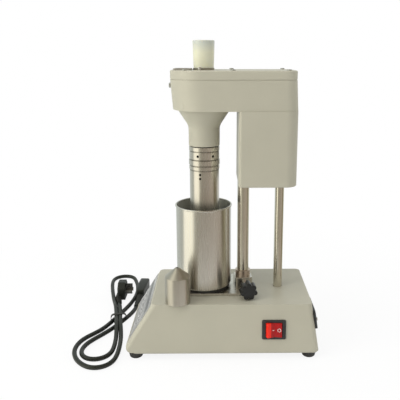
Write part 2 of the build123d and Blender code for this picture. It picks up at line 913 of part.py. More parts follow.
pulley_bottom = head_floor_top + belt_height - pulley_flange
pulley_top = pulley_bottom + belt_width + 2 * pulley_flange + 0.6
spindle_top = pulley_top + 4
bearing_low = neck_bottom + 2
bearing_high = head_floor_top - spindle_bearing_width - 1
shaft_bearing_low = ring_bottom + 4
with BuildPart() as spindle:
    add(turned(
        [
            (spindle_bore, shaft_bearing_low - 3),
            (spindle_radius, shaft_bearing_low - 3),
            (spindle_radius, spindle_top),
            (spindle_bore, spindle_top),
        ], rotor_x))
save(spindle.part, "spindle")

with BuildPart() as shaft_bearings:
    for z in (shaft_bearing_low, spindle_top - shaft_bearing_width):
        add(disc(rotor_x, 0, spindle_bore, z, z + shaft_bearing_width, bob_shaft_radius + RUN))
save(shaft_bearings.part, "shaft_bearings")

with BuildPart() as spindle_bearings:
    for z in (bearing_low, bearing_high):
        add(turned(
            [
                (spindle_radius + RUN, z),
                (spindle_radius + 2, z),
                (spindle_radius + 2, z + 0.6),
                (spindle_bearing_radius - 2, z + 0.6),
                (spindle_bearing_radius - 2, z),
                (spindle_bearing_radius, z),
                (spindle_bearing_radius, z + spindle_bearing_width),
                (spindle_radius + RUN, z + spindle_bearing_width),
            ], rotor_x))
save(spindle_bearings.part, "spindle_bearings")

floor_screw_grip = 7.0
neck_top = head_bottom - flare_height
neck_spigot = 23.0
neck_bore = spindle_bearing_radius - 2
with BuildPart() as spindle_housing:
    with BuildSketch(upright(rotor_x)):
        with BuildLine():
            Polyline(
                (spindle_radius + 1, neck_bottom),
                (neck_radius - 0.4, neck_bottom),
                (neck_radius - 0.2, neck_bottom + 0.8),
            )
            FilletPolyline(
                (neck_radius - 0.2, neck_bottom + 0.8),
                (neck_radius, neck_top),
                (flare_radius, head_bottom),
                radius=16,
            )
            Polyline(
                (flare_radius, head_bottom),
                (neck_spigot, head_bottom),
                (neck_spigot, head_floor_top),
                (spindle_bearing_radius, head_floor_top),
                (spindle_bearing_radius, bearing_high),
                (neck_bore, bearing_high),
                (neck_bore, bearing_low + spindle_bearing_width),
                (spindle_bearing_radius, bearing_low + spindle_bearing_width),
                (spindle_bearing_radius, bearing_low),
                (spindle_radius + 1, bearing_low),
                (spindle_radius + 1, neck_bottom),
            )
        make_face()
    revolve(axis=Axis((rotor_x, 0, 0), (0, 0, 1)))
    with BuildSketch(Plane.XY.offset(head_bottom)):
        with Locations((rotor_x, 0)):
            with PolarLocations(28, 4, start_angle=45):
                Circle(screw_radius)
    extrude(amount=-floor_screw_grip, mode=Mode.SUBTRACT)
save(spindle_housing.part, "spindle_housing")

neck_spots = [
    (rotor_x + 28 * cos(radians(a)), 28 * sin(radians(a))) for a in (45, 135, 225, 315)
]

# ---------------------------------------------------------------- motor box and head

box_front = rotor_x + motor_box_front
box_rear = rotor_x + motor_box_rear
front_bend = 4.0
column_hole = column_screw_radius + 0.2


def box_outline(inset):
    """Plan of the motor box: small bends in front, large ones at the rear."""
    with BuildSketch() as plan:
        with Locations(((box_front + box_rear) / 2, 0)):
            Rectangle(box_rear - box_front - 2 * inset, 2 * (head_radius - inset))
        fillet(plan.vertices().group_by(Axis.X)[0], front_bend - inset)
        fillet(plan.vertices().group_by(Axis.X)[-1], head_rear_radius - inset)
    return plan.sketch


box_post = 5.6
box_post_height = 30.0
box_spots = [
    (x, sy * (head_radius - motor_box_wall - box_post + 0.1))
    for x in (box_front + motor_box_wall + box_post, box_rear - head_rear_radius - 14)
    for sy in (-1, 1)
]
with BuildPart() as motor_box:
    with BuildSketch(Plane.XY.offset(motor_box_bottom)):
        add(box_outline(0))
    extrude(amount=motor_box_height)
    fillet(motor_box.faces().sort_by(Axis.Z)[0].outer_wire().edges(), 1.5)
    with BuildSketch(Plane.XY.offset(motor_box_bottom + motor_box_floor)):
        add(box_outline(motor_box_wall))
    extrude(amount=motor_box_height, mode=Mode.SUBTRACT)
    with BuildSketch(Plane.XY.offset(head_bottom)):
        with Locations(*box_spots):
            Circle(box_post)
    extrude(amount=-box_post_height)
    with BuildSketch(Plane.XY.offset(head_bottom)):
        with Locations(*box_spots):
            Circle(screw_radius)
    extrude(amount=-floor_screw_grip, mode=Mode.SUBTRACT)
    with BuildSketch(Plane.XY.offset(motor_box_bottom)):
        with Locations(*column_spots):
            Circle(column_hole)
    extrude(amount=motor_box_floor, mode=Mode.SUBTRACT)
save(motor_box.part, "motor_box")


def head_outline(front_inset, side_inset, rear_inset, corner):
    """Plan of the head: a half circle about the measuring axis, square behind it."""
    radius = head_radius - side_inset
    with BuildSketch() as plan:
        with Locations((rotor_x + front_inset - side_inset, 0)):
            Circle(radius)
        length = box_rear - rear_inset - rotor_x - front_inset + side_inset
        with Locations((rotor_x + front_inset - side_inset + length / 2, 0)):
            Rectangle(length, 2 * radius)
        fillet(plan.vertices().group_by(Axis.X)[-1], corner)
    return plan.sketch


lid_rear_step = 2.2
pitch_driven = driven_teeth * belt_pitch / (2 * pi)
pitch_drive = drive_teeth * belt_pitch / (2 * pi)
belt_length = belt_teeth * belt_pitch
wrap = belt_length - pi * (pitch_driven + pitch_drive)
shaft_distance = (wrap + sqrt(wrap**2 - 8 * (pitch_driven - pitch_drive) ** 2)) / 4
motor_x = rotor_x + shaft_distance
motor_screw_pitch = 47.14
motor_spots = [
    (motor_x + sx * motor_screw_pitch / 2, sy * motor_screw_pitch / 2)
    for sx in (-1, 1)
    for sy in (-1, 1)
]
lid_screw_radius = 1.5
lid_screw_grip = 8.0
lid_post = 4.2
lid_front_reach = head_radius - 5.8
lid_side_reach = head_radius - 6.5
lid_middle_offset = 39.0
lid_rear_offset = 112.0
lid_spots = [
    (rotor_x + lid_front_reach * cos(radians(a)), lid_front_reach * sin(radians(a)))
    for a in (128, 232)
] + [
    (rotor_x + x, sy * lid_side_reach)
    for x in (lid_middle_offset, lid_rear_offset)
    for sy in (-1, 1)
]
front_screw_height = head_bottom + 0.79 * head_height
front_screw_radius = 3.5
front_screw_head = 3.2
front_wall = rotor_x - head_radius + head_front_draft * (seam - front_screw_height) / head_height
front_seat = Plane(
    origin=(front_wall + 0.5, 0, front_screw_height), x_dir=(0, -1, 0), z_dir=(-1, 0, 0))
seam_outline = head_outline(
    seam_break, seam_break, lid_rear_step + seam_break, head_rear_radius - seam_break)
with BuildPart() as head_body:
    with BuildSketch(Plane.XY.offset(head_bottom)):
        add(head_outline(head_front_draft, head_side_draft, 0, head_rear_radius))
    with BuildSketch(Plane.XY.offset(seam - seam_break)):
        add(head_outline(0, 0, lid_rear_step, head_rear_radius))
    loft()
    with BuildSketch(Plane.XY.offset(seam - seam_break)):
        add(seam_outline)
    extrude(amount=seam_break)
    with BuildSketch(Plane.XY.offset(head_floor_top)):
        add(head_outline(
            head_front_draft + head_wall, head_side_draft + head_wall, head_wall,
            head_rear_radius - head_wall))
    with BuildSketch(Plane.XY.offset(seam)):
        add(head_outline(head_wall, head_wall, lid_rear_step + head_wall, head_rear_radius - head_wall))
    loft(mode=Mode.SUBTRACT)
    with BuildSketch(Plane.XY.offset(head_floor_top)):
        with Locations(*lid_spots):
            Circle(lid_post)
    extrude(amount=seam - head_floor_top)
    with BuildSketch(Plane.XY.offset(seam)):
        with Locations(*lid_spots):
            Circle(lid_screw_radius)
    extrude(amount=-12, mode=Mode.SUBTRACT)
    with BuildSketch(Plane.XY.offset(head_bottom)):
        with Locations((rotor_x, 0)):
            Circle(neck_spigot)
        with Locations((motor_x, 0)):
            Circle(motor_boss_radius)
        with Locations(*neck_spots, *box_spots, *motor_spots):
            Circle(screw_radius)
    extrude(amount=head_wall, mode=Mode.SUBTRACT)
    with BuildSketch(front_seat.offset(-2 * head_wall)):
        Circle(lid_screw_radius)
    extrude(amount=4 * head_wall, mode=Mode.SUBTRACT)
    with BuildSketch(front_seat):
        Circle(front_screw_radius)
    extrude(amount=2 * head_wall, mode=Mode.SUBTRACT)
save(head_body.part, "head_body")

with BuildPart() as front_screw:
    with BuildSketch(front_seat):
        Circle(front_screw_radius)
    extrude(amount=front_screw_head)
    fillet(front_screw.faces().sort_by(Axis.X)[0].edges(), 1.2)
    with BuildSketch(front_seat):
        Circle(lid_screw_radius)
    extrude(amount=-7)
save(front_screw.part, "front_screw")

floor_screws = screws(
    neck_spots + box_spots + motor_spots, 3.5, 2.4, head_floor_top,
    head_wall + floor_screw_grip - 1, screw_radius)
save(floor_screws, "head_floor_screws")

window_x = rotor_x - window_offset
seat_screw_x = rotor_x - 5.2
seat_screw_y = -(seat_radius + 2.6)
seat_screw_radius = 1.2
seat_spigot = 11.8
lid_under = lid_top - lid_wall
with BuildPart() as head_lid:
    with BuildSketch(Plane.XY.offset(seam + seam_break)):
        add(head_outline(0, 0, lid_rear_step, head_rear_radius))
    extrude(amount=lid_height - seam_break)
    fillet(head_lid.faces().sort_by(Axis.Z)[-1].outer_wire().edges(), 1.8)
    with BuildSketch(Plane.XY.offset(seam)):
        add(seam_outline)
    extrude(amount=seam_break)
    with BuildSketch(Plane.XY.offset(seam)):
        add(head_outline(lid_wall, lid_wall, lid_rear_step + lid_wall, head_rear_radius - lid_wall))
    extrude(amount=lid_height - lid_wall, mode=Mode.SUBTRACT)
    with BuildSketch(Plane.XY.offset(lid_under)):
        with Locations((rotor_x, 0)):
            Circle(seat_spigot)
        with Locations(*lid_spots):
            Circle(lid_screw_radius)
        with Locations((window_x, 0)):
            RectangleRounded(window_length, window_width, 2)
        with Locations((seat_screw_x, seat_screw_y)):
            Circle(seat_screw_radius)
    extrude(amount=lid_wall, mode=Mode.SUBTRACT)
save(head_lid.part, "head_lid")

lid_screws = screws(
    lid_spots, 2 * lid_screw_radius, lid_screw_radius, lid_top, lid_height + lid_screw_grip,
    lid_screw_radius)
save(lid_screws, "lid_screws")

with BuildPart() as window_bezel:
    with BuildSketch(Plane.XY.offset(lid_top)):
        with Locations((window_x, 0)):
            RectangleRounded(window_length + 2 * bezel_rim, window_width + 2 * bezel_rim, 4)
            RectangleRounded(window_length, window_width, 2, mode=Mode.SUBTRACT)
    extrude(amount=bezel_height)
    chamfer(window_bezel.faces().sort_by(Axis.Z)[-1].outer_wire().edges(), 0.7)
    with BuildSketch(Plane.XY.offset(lid_top)):
        with Locations((window_x, 0)):
            RectangleRounded(window_length + 2, window_width + 2, 2.5)
    extrude(amount=glass_thickness, mode=Mode.SUBTRACT)
save(window_bezel.part, "window_bezel")

with BuildPart() as window_glass:
    with BuildSketch(Plane.XY.offset(lid_top)):
        with Locations((window_x, 0)):
            RectangleRounded(window_length + 2, window_width + 2, 2.5)
    extrude(amount=glass_thickness)
save(window_glass.part, "window_glass")

# ---------------------------------------------------------------- spring, dial and cap

seat_top = lid_top + seat_height
seat_bore = tube_radius - tube_wall
cap_slip = 0.15
cap_step = 2.4
with BuildPart() as spring_seat:
    add(turned(
        [
            (seat_bore, lid_under),
            (seat_spigot, lid_under),
            (seat_spigot, lid_top),
            (seat_radius, lid_top),
            (seat_radius, seat_top - 0.4),
            (seat_radius - 0.4, seat_top),
            (seat_spigot, seat_top),
            (seat_spigot, seat_top + cap_step),
            (seat_bore, seat_top + cap_step),
        ], rotor_x))
tube_foot = seat_top + cap_step
tube_top = seat_top + tube_height
tube_crown = 3.0
with BuildPart() as spring_tube:
    add(turned(
        [
            (seat_bore, tube_foot),
            (tube_radius, tube_foot),
            (tube_radius, tube_top),
            (0, tube_top),
            (0, tube_top - tube_crown),
            (seat_bore, tube_top - tube_crown),
        ], rotor_x))
    with BuildSketch(upright(rotor_x, 2 * tube_radius)):
        with Locations((0, (tube_foot + tube_top - tube_crown) / 2)):
            SlotOverall(tube_height - 12, 9, rotation=90)
    extrude(amount=4 * tube_radius, mode=Mode.SUBTRACT)
save(spring_tube.part, "spring_tube")
save(spring_seat.part, "spring_seat")

spring_height = spring_pitch * spring_turns
spring_top = tube_top - tube_crown - spring_wire / 2
spring_foot = spring_top - spring_height
with BuildPart() as torsion_spring:
    with BuildLine() as coil:
        Helix(spring_pitch, spring_height, spring_radius, center=(rotor_x, 0, spring_foot))
    with BuildSketch(Plane(origin=coil.line @ 0, z_dir=coil.line % 0)):
        Circle(spring_wire / 2)
    sweep()
save(torsion_spring.part, "torsion_spring")

dial_top = lid_under - dial_gap
shaft_top = spring_foot - spring_wire / 2 - SLIP
arbor_radius = spring_radius + spring_wire
with BuildPart() as bob_shaft:
    add(turned(
        [
            (0, bob_bottom + bob_height / 2),
            (bob_shaft_radius, bob_bottom + bob_height / 2),
            (bob_shaft_radius, shaft_top - 3),
            (arbor_radius, shaft_top - 3),
            (arbor_radius, shaft_top),
            (0, shaft_top),
        ], rotor_x))
save(bob_shaft.part, "bob_shaft")

hub_height = 4.0
with BuildPart() as dial:
    add(turned(
        [
            (bob_shaft_radius, dial_top - dial_thickness - hub_height),
            (bob_shaft_radius + 4, dial_top - dial_thickness - hub_height),
            (bob_shaft_radius + 4, dial_top - dial_thickness),
            (dial_radius, dial_top - dial_thickness),
            (dial_radius, dial_top),
            (bob_shaft_radius, dial_top),
        ], rotor_x))
save(dial.part, "dial")

bridge_bearing_radius = 6.5
bridge_half = 30.5
bridge_width = 19.0
bridge_thickness = 4.0
bridge_post = 3.5
bridge_bottom = spindle_top + 1.5
bridge_top = bridge_bottom + bridge_thickness
with BuildPart() as shaft_bridge:
    with BuildSketch(Plane.XY.offset(bridge_bottom)):
        with Locations((rotor_x, 0)):
            SlotCenterToCenter(2 * bridge_half, bridge_width, rotation=90)
    extrude(amount=bridge_thickness)
    with BuildSketch(Plane.XY.offset(head_floor_top)):
        with Locations((rotor_x, bridge_half), (rotor_x, -bridge_half)):
            Circle(bridge_post)
    extrude(amount=bridge_bottom - head_floor_top)
    with BuildSketch(Plane.XY.offset(bridge_bottom)):
        with Locations((rotor_x, 0)):
            Circle(bridge_bearing_radius)
    extrude(amount=bridge_thickness, mode=Mode.SUBTRACT)
save(shaft_bridge.part, "shaft_bridge")

bridge_bearing = disc(
    rotor_x, 0, bridge_bearing_radius, bridge_bottom, bridge_top, bob_shaft_radius + RUN)
save(bridge_bearing, "bridge_bearing")

cap_top = seat_top + cap_height
with BuildPart() as spring_cap:
    add(turned(
        [
            (seat_spigot + cap_slip, seat_top),
            (cap_foot_radius, seat_top),
            (cap_top_radius, cap_top - 0.8),
            (cap_top_radius - 0.8, cap_top),
            (0, cap_top),
            (0, cap_top - 2 * cap_wall),
            (cap_top_radius - cap_wall, cap_top - 2 * cap_wall),
            (seat_spigot + cap_slip + 0.3, seat_top + cap_step + 0.4),
            (seat_spigot + cap_slip, seat_top + cap_step),
        ], rotor_x))
save(spring_cap.part, "spring_cap")

seat_screw = screws(
    [(seat_screw_x, seat_screw_y)], 2.2, 4.0, lid_top, lid_wall, seat_screw_radius, socket=1.2)
save(seat_screw, "seat_screw")

# ---------------------------------------------------------------- motor and belt drive

motor_top = head_bottom
with BuildPart() as drive_motor:
    with BuildSketch(Plane.XY.offset(motor_top)):
        with Locations((motor_x, 0)):
            RectangleRounded(motor_size, motor_size, 5)
    extrude(amount=-motor_height)
    with BuildSketch(Plane.XY.offset(motor_top - 9)):
        with Locations((motor_x, 0)):
            Rectangle(motor_size, motor_size)
            RectangleRounded(motor_size - 3, motor_size - 3, 12, mode=Mode.SUBTRACT)
    extrude(amount=-(motor_height - 18), mode=Mode.SUBTRACT)
    with BuildSketch(Plane.XY.offset(motor_top)):
        with Locations((motor_x, 0)):
            Circle(motor_boss_radius - 0.1)
    extrude(amount=head_wall / 2)
    with BuildSketch(Plane.XY.offset(motor_top + head_wall / 2)):
        with Locations((motor_x, 0)):
            Circle(motor_shaft_radius + RUN)
    extrude(amount=-14, mode=Mode.SUBTRACT)
    with BuildSketch(Plane.XY.offset(motor_top)):
        with Locations(*motor_spots):
            Circle(screw_radius)
    extrude(amount=-floor_screw_grip, mode=Mode.SUBTRACT)
save(drive_motor.part, "drive_motor")

motor_shaft = disc(motor_x, 0, motor_shaft_radius, motor_top - 12 + head_wall / 2, pulley_top + 1)
save(motor_shaft, "motor_shaft")

belt_low = head_floor_top + belt_height + 0.3
belt_gap = 0.2
groove_depth = belt_tooth + belt_gap
tooth_half = 0.7
groove_half = tooth_half + belt_gap


def toothed_pulley(x, pitch_radius, teeth, bore, first):
    """Flanged pulley with a groove for each belt tooth; first is the angle of one groove."""
    face = pitch_radius - belt_gap
    with BuildPart() as pulley:
        with BuildSketch(Plane.XY.offset(pulley_bottom)):
            with Locations((x, 0)):
                Circle(face)
                with PolarLocations(face - groove_depth / 2 + 0.1, teeth, start_angle=first):
                    Rectangle(groove_depth + 0.2, 2 * groove_half, mode=Mode.SUBTRACT)
        extrude(amount=pulley_top - pulley_bottom)
        for z in (pulley_bottom, pulley_top - pulley_flange):
            with BuildSketch(Plane.XY.offset(z)):
                with Locations((x, 0)):
                    Circle(pitch_radius + flange_rim)
            extrude(amount=pulley_flange)
        with BuildSketch(Plane.XY.offset(pulley_bottom)):
            with Locations((x, 0)):
                Circle(bore)
        extrude(amount=pulley_top - pulley_bottom, mode=Mode.SUBTRACT)
    return pulley.part


lean = asin((pitch_driven - pitch_drive) / shaft_distance)
driven_arc = pitch_driven * (pi + 2 * lean)
drive_arc = pitch_drive * (pi - 2 * lean)
span = (belt_length - driven_arc - drive_arc) / 2


def belt_point(travel):
    """Point of the pitch line and outward angle, from the driven pulley's far side."""
    if travel < driven_arc / 2:
        angle = pi + travel / pitch_driven
        return rotor_x + pitch_driven * cos(angle), pitch_driven * sin(angle), angle
    travel -= driven_arc / 2
    low = 1.5 * pi + lean
    if travel < span:
        x = rotor_x + pitch_driven * cos(low) - travel * sin(low)
        return x, pitch_driven * sin(low) + travel * cos(low), low
    travel -= span
    if travel < drive_arc:
        angle = low + travel / pitch_drive
        return motor_x + pitch_drive * cos(angle), pitch_drive * sin(angle), angle
    travel -= drive_arc
    high = 0.5 * pi - lean
    if travel < span:
        x = motor_x + pitch_drive * cos(high) - travel * sin(high)
        return x, pitch_drive * sin(high) + travel * cos(high), high
    travel -= span
    angle = high + travel / pitch_driven
    return rotor_x + pitch_driven * cos(angle), pitch_driven * sin(angle), angle


belt_spots = [belt_point(k * belt_pitch) for k in range(belt_teeth)]
on_drive = min(belt_spots, key=lambda spot: -spot[0])
save(toothed_pulley(rotor_x, pitch_driven, driven_teeth, spindle_radius, 180.0), "driven_pulley")
save(
    toothed_pulley(motor_x, pitch_drive, drive_teeth, motor_shaft_radius, degrees(on_drive[2])),
    "drive_pulley")


def belt_loop(reach):
    """Plan of the loop at a distance outside the pitch line."""
    with BuildSketch() as loop:
        with BuildLine():
            corners = []
            for x, radius, side in (
                (rotor_x, pitch_driven, 1),
                (motor_x, pitch_drive, 1),
                (motor_x, pitch_drive, -1),
                (rotor_x, pitch_driven, -1),
            ):
                angle = side * (pi / 2 - lean)
                corners.append((x + (radius + reach) * cos(angle), (radius + reach) * sin(angle)))
            Line(corners[0], corners[1])
            ThreePointArc(corners[1], (motor_x + pitch_drive + reach, 0), corners[2])
            Line(corners[2], corners[3])
            ThreePointArc(corners[3], (rotor_x - pitch_driven - reach, 0), corners[0])
        make_face()
    return loop.sketch


with BuildPart() as timing_belt:
    with BuildSketch(Plane.XY.offset(belt_low)):
        add(belt_loop(belt_back))
        add(belt_loop(0), mode=Mode.SUBTRACT)
        for x, y, angle in belt_spots:
            inward = belt_tooth / 2 - 0.1
            with Locations((x - inward * cos(angle), y - inward * sin(angle))):
                Rectangle(belt_tooth + 0.2, 2 * tooth_half, rotation=degrees(angle))
    extrude(amount=belt_width)
save(timing_belt.part, "timing_belt")

# ---------------------------------------------------------------- mains lead

plug_x, plug_y = -177.5, 119.0
plug_depth = 13.0
plug_length = 32.0
plug_height = 30.0
pin_length = 11.5
outlet_radius = 5.0
relief_length = 24.0
relief_end = plug_y - relief_length
relief_x = plug_x + 6.0
plug_back = plug_x - 1.5
with BuildPart() as mains_plug:
    with BuildSketch(Plane(origin=(plug_back, plug_y, 0), x_dir=(0, 1, 0), z_dir=(1, 0, 0))):
        with BuildLine():
            FilletPolyline(
                (0, 0.3),
                (plug_length, 0.3),
                (plug_length, plug_height * 0.7),
                (plug_length * 0.72, plug_height),
                (plug_length * 0.28, plug_height),
                (0, plug_height * 0.7),
                close=True,
                radius=4,
            )
        make_face()
    extrude(amount=plug_depth)
    fillet(mains_plug.faces().sort_by(Axis.X)[0].edges(), 2.5)
    with BuildSketch(Plane(
            origin=(plug_x, plug_y + plug_length - 4, outlet_radius + 0.4),
            x_dir=(1, 0, 0), z_dir=(0, -1, 0))):
        Circle(outlet_radius)
    extrude(amount=plug_length - 4)
    with BuildSketch(Plane(
            origin=(plug_x, plug_y, outlet_radius + 0.4), x_dir=(1, 0, 0), z_dir=(0, -1, 0))):
        Circle(outlet_radius)
    with BuildSketch(Plane(
            origin=(relief_x, relief_end, outlet_radius + 0.4), x_dir=(1, 0, 0), z_dir=(0, -1, 0))):
        Circle(cord_radius + 0.6)
    loft()
save(mains_plug.part, "mains_plug")

pin_plane = Plane(
    origin=(plug_back + plug_depth, plug_y + plug_length / 2, plug_height / 2),
    x_dir=(0, 1, 0), z_dir=(1, 0, 0))
with BuildPart() as plug_pins:
    with BuildSketch(pin_plane):
        with Locations((0, 7)):
            Rectangle(1.6, 6.4)
        with Locations((-7, -3)):
            Rectangle(1.6, 6.4, rotation=30)
        with Locations((7, -3)):
            Rectangle(1.6, 6.4, rotation=-30)
    extrude(amount=pin_length)
save(plug_pins.part, "plug_pins")

hank_height = 7.0
crossing_height = 13.8
crossing_turn = 12.0
crossing_x, crossing_y = -164.5, 38.0
strand = 3.4
upper_loop = [
    (-162, 48), (-175.5, 74), (-187, 117), (-195, 158), (-198.5, 196), (-195, 217), (-186, 223),
    (-174, 211), (-160, 186), (-151, 158), (-149.6, 131), (-153, 105), (-159.5, 72),
]
lower_loop = [
    (-163, 46), (-172, 29), (-184, 14), (-200, -4), (-211, -18), (-213, -34), (-211, -48),
    (-203, -64), (-190, -82), (-177, -93), (-166, -94), (-156, -82), (-150, -62), (-147.5, -40),
    (-149, -14), (-154, 14), (-160, 36),
]
lower_reach = 15.0
plug_lead = [(relief_x - 4, relief_end), (relief_x + 4, relief_end), (-161, 60), (-166, 50)]
lead_start = (-141.5, 84.0)
connector_lead = [(-157, 30), (-150, 34), (-137.5, 83.7), (-145.5, 84.3)]


def fat_loop(points, inside, outside):
    """Flat band along a loop of cord, wide enough for its strands."""
    with BuildSketch() as band:
        with BuildLine():
            Polyline(*points, close=True)
        make_face()
        offset(amount=outside, kind=Kind.ARC)
        with BuildLine():
            Polyline(*points, close=True)
        hole = make_face(mode=Mode.PRIVATE)
        add(offset(hole, amount=-inside, kind=Kind.INTERSECTION, mode=Mode.PRIVATE), mode=Mode.SUBTRACT)
    return band.sketch


tie_half = 9.0
with BuildPart() as cord_hank:
    with BuildSketch(Plane.XY.offset(0.05)):
        add(fat_loop(upper_loop, strand, strand))
        add(fat_loop(lower_loop, lower_reach, strand))
        for lead in (plug_lead, connector_lead):
            with BuildLine():
                Polyline(*lead, close=True)
            make_face()
    extrude(amount=hank_height)
    for z, across, along in ((0.05, 24, 92), (0.05 + crossing_height, 14, 44)):
        with BuildSketch(Plane.XY.offset(z)):
            with Locations((crossing_x, crossing_y)):
                Rectangle(across, along, rotation=crossing_turn)
    loft()
save(cord_hank.part, "cord_hank")

with BuildPart() as cord_tie:
    with BuildSketch(Plane.XY.offset(crossing_height + 0.05)):
        with Locations((crossing_x, crossing_y)):
            RectangleRounded(2 * tie_half, 5, 2, rotation=crossing_turn)
    extrude(amount=1.2)
save(cord_tie.part, "cord_tie")

connector_way = (0.075, 1.0, 0)
connector_width = 16.0
connector_height = 24.0
connector_length = 46.0
connector_relief = 32.0
shroud_length = 24.0
connector_plane = Plane(
    origin=(*lead_start, connector_height / 2 + 0.3), x_dir=(1.0, -0.075, 0), z_dir=connector_way)
with BuildPart() as line_connector:
    with BuildSketch(connector_plane):
        with Locations((0, cord_radius - connector_height / 2 + 1)):
            Circle(cord_radius + 0.8)
    with BuildSketch(connector_plane.offset(connector_relief)):
        with Locations((0, -3)):
            Circle(outlet_radius + 1)
    loft()
    with BuildSketch(connector_plane.offset(connector_relief)):
        RectangleRounded(connector_width - 3, connector_height - 7, 4)
    with BuildSketch(connector_plane.offset(connector_relief + connector_length - shroud_length)):
        RectangleRounded(connector_width, connector_height, 4)
    loft()
    with BuildSketch(connector_plane.offset(connector_relief + connector_length - shroud_length)):
        RectangleRounded(connector_width, connector_height, 4)
    extrude(amount=shroud_length)
    with BuildSketch(connector_plane.offset(connector_relief + connector_length)):
        with Locations((-2, -6.5), (2.5, 0), (-2, 6.5)):
            Rectangle(4.4, 2.4)
    extrude(amount=-shroud_length + 4, mode=Mode.SUBTRACT)
save(line_connector.part, "line_connector")
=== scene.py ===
from math import atan2, cos, pi, radians, sin

import bpy
import bmesh
from mathutils import Matrix, Vector


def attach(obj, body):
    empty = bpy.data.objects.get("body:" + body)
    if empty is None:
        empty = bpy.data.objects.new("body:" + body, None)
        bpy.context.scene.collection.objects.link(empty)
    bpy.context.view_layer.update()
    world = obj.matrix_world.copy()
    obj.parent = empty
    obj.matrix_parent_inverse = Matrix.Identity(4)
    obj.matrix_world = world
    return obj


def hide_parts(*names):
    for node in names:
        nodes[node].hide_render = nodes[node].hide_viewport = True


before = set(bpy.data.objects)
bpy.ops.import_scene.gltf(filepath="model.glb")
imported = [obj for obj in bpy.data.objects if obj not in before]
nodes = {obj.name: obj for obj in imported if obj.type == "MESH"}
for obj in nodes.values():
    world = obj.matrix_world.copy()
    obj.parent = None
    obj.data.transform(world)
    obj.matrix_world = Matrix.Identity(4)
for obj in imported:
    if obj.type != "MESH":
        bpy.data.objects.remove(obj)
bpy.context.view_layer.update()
mm = 0.001
axisX = -0.0249  # the measuring axis stands here, at y = 0
print("frame loaded:", len(nodes), "nodes")


# ---- small helpers

def deselectAll():
    if bpy.context.mode != "OBJECT":
        bpy.ops.object.mode_set(mode="OBJECT")
    bpy.ops.object.select_all(action="DESELECT")


def settle(piece, name, material, body, smooth=35):
    # puts the piece's place in its mesh, names it and lets it ride
    deselectAll()
    piece.select_set(True)
    bpy.context.view_layer.objects.active = piece
    bpy.ops.object.transform_apply(location=True, rotation=True, scale=True)
    if smooth:
        bpy.ops.object.shade_smooth_by_angle(angle=radians(smooth))
    piece.name = name
    piece.data.name = name
    piece.data.materials.clear()
    piece.data.materials.append(material)
    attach(piece, body)
    return piece


def turnedTo(xDir, zDir, origin):
    # matrix that lays local x and z along two directions
    z = Vector(zDir).normalized()
    x = Vector(xDir).normalized()
    y = z.cross(x)
    return Matrix.Translation(Vector(origin)) @ Matrix((x, y, z)).transposed().to_4x4()


def joined(pieces):
    deselectAll()
    for piece in pieces:
        piece.select_set(True)
    bpy.context.view_layer.objects.active = pieces[0]
    bpy.ops.object.join()
    return bpy.context.active_object


# ---- materials

def newMaterial(name, color, roughness, metallic=0.0):
    material = bpy.data.materials.new(name)
    material.use_nodes = True
    tree = material.node_tree
    shader = tree.nodes["Principled BSDF"]
    shader.inputs["Base Color"].default_value = (*color, 1)
    shader.inputs["Roughness"].default_value = roughness
    shader.inputs["Metallic"].default_value = metallic
    return material, tree, shader


def place(tree, scale=(1, 1, 1), offset=(0, 0, 0), turn=(0, 0, 0)):
    coordinates = tree.nodes.new("ShaderNodeTexCoord")
    mapping = tree.nodes.new("ShaderNodeMapping")
    mapping.inputs["Scale"].default_value = scale
    mapping.inputs["Location"].default_value = offset
    mapping.inputs["Rotation"].default_value = turn
    tree.links.new(coordinates.outputs["Object"], mapping.inputs["Vector"])
    return mapping.outputs["Vector"]


def noise(tree, vector, scale, detail=3.0, roughness=0.5):
    node = tree.nodes.new("ShaderNodeTexNoise")
    node.inputs["Scale"].default_value = scale
    node.inputs["Detail"].default_value = detail
    node.inputs["Roughness"].default_value = roughness
    tree.links.new(vector, node.inputs["Vector"])
    return node.outputs["Fac"]


def spread(tree, value, low, high, fromLow=0.3, fromHigh=0.7):
    node = tree.nodes.new("ShaderNodeMapRange")
    node.inputs["From Min"].default_value = fromLow
    node.inputs["From Max"].default_value = fromHigh
    node.inputs["To Min"].default_value = low
    node.inputs["To Max"].default_value = high
    tree.links.new(value, node.inputs["Value"])
    return node.outputs["Result"]


def blendColors(tree, fac, first, second):
    node = tree.nodes.new("ShaderNodeMix")
    node.data_type = "RGBA"
    tree.links.new(fac, node.inputs["Factor"])
    for socket, color in ((node.inputs[6], first), (node.inputs[7], second)):
        if isinstance(color, tuple):
            socket.default_value = (*color, 1)
        else:
            tree.links.new(color, socket)
    return node.outputs[2]


def arithmetic(tree, operation, first, second=None):
    node = tree.nodes.new("ShaderNodeMath")
    node.operation = operation
    for socket, value in zip(node.inputs, (first, second)):
        if isinstance(value, (int, float)):
            socket.default_value = value
        elif value is not None:
            tree.links.new(value, socket)
    return node.outputs[0]


def vectorArithmetic(tree, operation, first, second=None):
    node = tree.nodes.new("ShaderNodeVectorMath")
    node.operation = operation
    tree.links.new(first, node.inputs[0])
    if second is not None:
        node.inputs[1].default_value = second
    return node.outputs["Value" if operation == "LENGTH" else "Vector"]


def mixShaders(tree, fac, first, second):
    node = tree.nodes.new("ShaderNodeMixShader")
    for socket, value in zip(node.inputs, (fac, first, second)):
        tree.links.new(value, socket)
    return node.outputs[0]


def splitAxes(tree, vector):
    node = tree.nodes.new("ShaderNodeSeparateXYZ")
    tree.links.new(vector, node.inputs["Vector"])
    return node.outputs


def placeAxes(tree):
    coordinates = tree.nodes.new("ShaderNodeTexCoord")
    return splitAxes(tree, coordinates.outputs["Object"])


